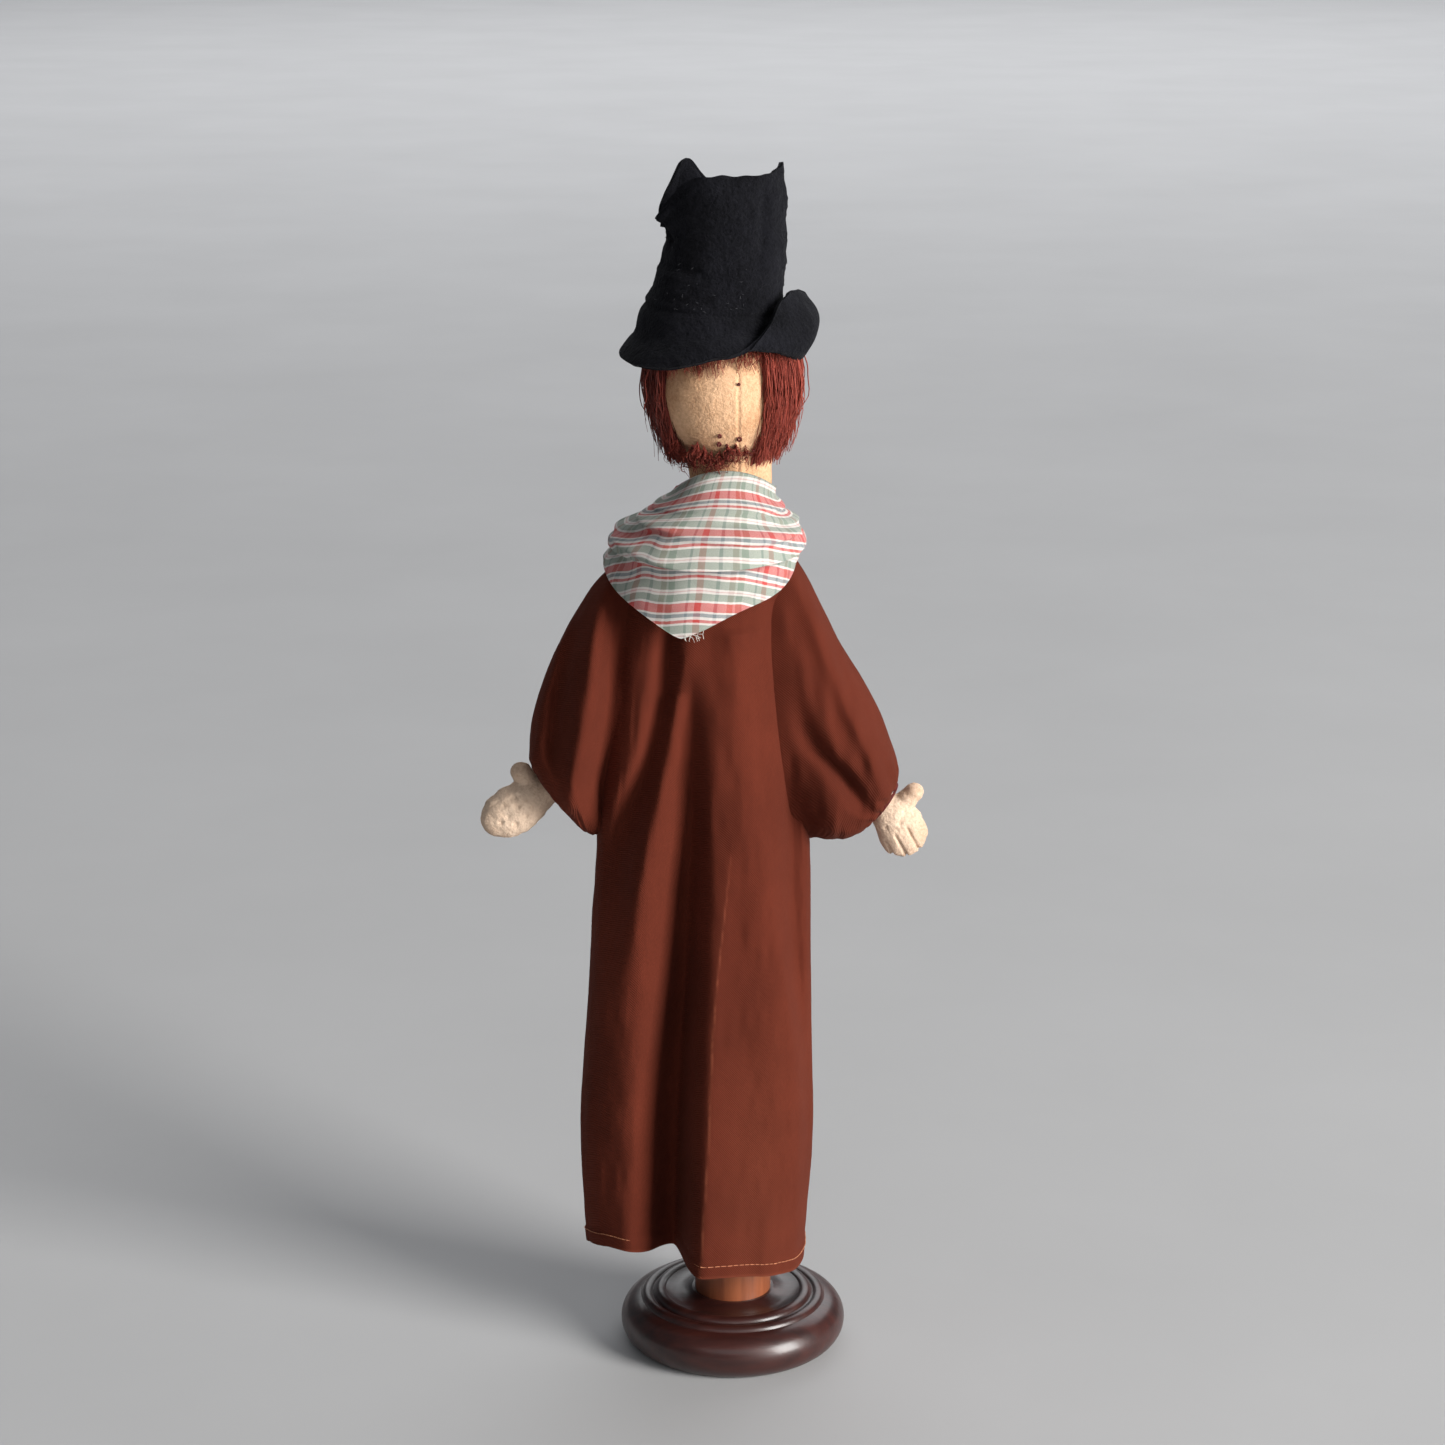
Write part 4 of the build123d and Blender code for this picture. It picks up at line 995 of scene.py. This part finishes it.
creases = -1.6 * bell(turn - 0.155 - 0.05 * up, 0.014) * step(up, 0.25, 0.6)
creases += -1.3 * bell(turn - 0.93 + 0.06 * up, 0.02) * step(up, 0.15, 0.5) * step(up, 1.0, 0.8)
creases += -1.2 * bell(up - 0.30 - 0.25 * (turn - 0.1), 0.035) * bump(turn - 0.12, 0.08, 0.1)
creases += 0.9 * bell(up - 0.035, 0.03)
crown = crown + out * (lumps * step(up, 0.0, 0.08) + creases)[..., None]
crown[..., 2] += 0.5 * noise(turn * 40, up * 0, 74, 40) * step(up, 0.9, 1.0)
n = grid_normals(crown, True)
away = np.sign((n * out).sum(-1).mean())
crown_object = cloth("hat_crown_felt", crown, 1.7, MAT["hat"], outward=away)
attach(crown_object, "head")
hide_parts("hat_crown")

# The top is sewn in below the crown's edge and sags
inner = np.linspace(0, 1, 40)[:, None, None]
edge_ring = crown[-4] - out[-4] * 1.9 - np.array([0, 0, 1.4])
middle = edge_ring.mean(0) + np.array([0, 0, -4.5])
top = edge_ring[None] * (1 - inner) + middle[None, None] * inner
sag = (inner[..., 0] * (1 - inner[..., 0])) * 4
rumple = 0.7 * noise(turn * 9, inner[..., 0] * 5, 76, 9)
rumple = rumple * step(inner[..., 0], 0, 0.15) * step(inner[..., 0], 1, 0.8)
top[..., 2] -= sag * 3.0 + rumple
n = grid_normals(top, True)
top_object = cloth("hat_top_felt", top, 1.4, MAT["hat"], outward=np.sign(n[..., 2].mean()))
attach(top_object, "head")
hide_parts("hat_top")

rows_b = 60
s = np.linspace(0, 1, rows_b)
brim_keys = [(0.0, *(seam + np.array([0, 0, 0.6]) - out[0] * 0.4).ravel()),
             (0.10, *(seam + out[0] * 1.6 + np.array([0, 0, -1.6])).ravel()),
             (0.5, *round_keys(BRIM_MIDDLE, deg).ravel()), (0.76, *round_keys(BRIM_ROLL, deg).ravel()),
             (1.0, *round_keys(BRIM_EDGE, deg).ravel())]
brim = np.stack(curve_through(s, brim_keys), -1).reshape(rows_b, cols, 3)
n = grid_normals(brim, True)
away = np.sign(n[..., 2].mean())
wob = 0.55 * noise(turn * 13, s[:, None] * 3, 81, 13) + 0.25 * noise(turn * 40, s[:, None] * 8, 82, 40)
brim = brim + n * away * (wob * step(s[:, None], 0.05, 0.3))[..., None]
ragged = 0.45 * noise(turn[0] * 55, 0 * turn[0], 83, 55)
brim[-1] += (brim[-1] - brim[-3]) * ragged[:, None] * 0.5
brim_object = cloth("hat_brim_felt", brim, 1.7, MAT["hat"], outward=away)
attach(brim_object, "head")
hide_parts("hat_brim")

# Grey fibres caught in the hat's seam, and wool ends standing off its felt. All 46 grey ones are drawn, so
# that the later draws stay the same, but only 26 are shown.
SEAM_FIBRES, SHOWN_FIBRES, ALL_FIBRES = 46, 26, 150
fibres = []
for k in range(ALL_FIBRES):
    if k < SEAM_FIBRES:
        i, row = int(rng.uniform(-25, 62)) % 360, int(3 + rng.exponential(22)) % 120
    else:
        i, row = int(rng.uniform(-80, 80)) % 360, int(rng.uniform(5, crown_rows - 4))
    base = crown[row, i] + out[row, i] * 0.25
    way = rng.normal(0, 1, 3) * np.array([1, 0.35, 1])
    way /= np.linalg.norm(way)
    size = rng.uniform(0.4, 1.5) if k < SEAM_FIBRES else rng.uniform(0.5, 1.3)
    t = np.linspace(-0.5, 0.5, 5)[:, None]
    fibres.append(base + way * t * size + out[row, i] * (0.35 * (1 - 4 * t ** 2)))
lint = tubes("hat_lint", np.array(fibres[:SHOWN_FIBRES]), np.full((SHOWN_FIBRES, 5), 0.045),
             MAT["grey_lint"], 4)
wool = tubes("hat_wool_ends", np.array(fibres[SEAM_FIBRES:]), np.full((ALL_FIBRES - SEAM_FIBRES, 5), 0.06),
             MAT["hat"], 4)
for obj, where in ((lint, "thread"), (wool, "hat_felt")):
    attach(obj, "head")


# ---- frayed threads at the kerchief's point
frays = []
for k in range(16):
    root = np.array([-18.5 + rng.uniform(-1.5, 6.5), -33.2, 312.4 + rng.uniform(-0.6, 1.2)])
    way = np.array([rng.uniform(-0.3, 1.0), rng.uniform(-0.25, 0.1), -rng.uniform(0.5, 1.2)])
    t = np.linspace(0, 1, 7)[:, None]
    frays.append(root + way * t * rng.uniform(1.6, 3.8) + np.sin(t * 5 + k) * 0.35)
fray = tubes("kerchief_fray", np.array(frays), np.full((16, 7), 0.10), MAT["pale_thread"], 4)
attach(fray, "torso")


# ---- carried CAD pieces
for node, material in (("stand_base", "base"), ("post", "post"), ("base_baize", "baize"),
                       ("post_screw", "steel"), ("neck_tube", "card")):
    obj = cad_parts[node]
    obj.data.materials.clear()
    obj.data.materials.append(MAT[material])


# ---- room, light and camera
def stage_material(name, colour, mottled):
    s = Shader(name, roughness=0.95, specular=0.1)
    p = s.coords()
    n = s.noise(p, 3.0, 5.0, 0.6)
    s.colour(s.ramp(n, [(0.3, tuple(c * (1 - mottled) for c in colour)), (0.7, colour)]))
    return s.material


wall_material = stage_material("plaster", (0.50, 0.50, 0.503), 0.06)
a = np.linspace(0, 2 * math.pi, 96, endpoint=False)[None, :]
ring_radius = np.array([1, 400, 1500, 5000, 16000])[:, None]
floor_points = np.stack([ring_radius * np.cos(a), ring_radius * np.sin(a), 0 * ring_radius * a], -1)
floor = mesh_object("floor", floor_points, grid_faces(5, 96, True), wall_material)


def area_light(name, at, target, size, power, colour):
    data = bpy.data.lights.new(name, "AREA")
    data.shape, data.size, data.size_y = "RECTANGLE", size[0], size[1]
    data.energy, data.color = power, colour
    obj = bpy.data.objects.new(name, data)
    obj.location = Vector(at)
    obj.rotation_mode = "QUATERNION"
    obj.rotation_quaternion = (Vector(target) - Vector(at)).to_track_quat("-Z", "Y")
    bpy.context.scene.collection.objects.link(obj)


area_light("window", (3.30, -2.31, 1.36), (0, 0, 0.27), (1.8, 2.6), 345.0, (1.0, 0.985, 0.96))
area_light("front_fill", (0.35, -2.2, 1.1), (0, 0, 0.27), (1.2, 1.2), 0.7, (0.97, 0.98, 1.0))
area_light("floor_behind", (0.6, 7.5, 4.6), (0.0, 7.6, 0), (9.0, 9.0), 560.0, (0.97, 0.98, 1.0))
area_light("floor_in_front", (0.0, -6.5, 3.6), (0, -6.6, 0), (7.0, 5.0), 110.0, (0.97, 0.98, 1.0))
world = bpy.data.worlds.new("room")
world.use_nodes = True
world.node_tree.nodes["Background"].inputs["Color"].default_value = (0.72, 0.76, 0.82, 1.0)
world.node_tree.nodes["Background"].inputs["Strength"].default_value = 0.14
bpy.context.scene.world = world
bpy.context.scene.view_settings.view_transform = "Standard"

camera_data = bpy.data.cameras.new("camera")
camera_data.lens, camera_data.sensor_width = 82.2, 36.0
camera_data.clip_start, camera_data.clip_end = 0.05, 30.0
camera = bpy.data.objects.new("camera", camera_data)
CAMERA_AT, CAMERA_AIM = (-0.0043, -1.2720, 0.6201), (-0.0043, 0, 0.2673)
camera.location = CAMERA_AT
camera.rotation_mode = "QUATERNION"
camera.rotation_quaternion = (Vector(CAMERA_AIM) - Vector(camera.location)).to_track_quat("-Z", "Y")
bpy.context.scene.collection.objects.link(camera)
bpy.context.scene.camera = camera
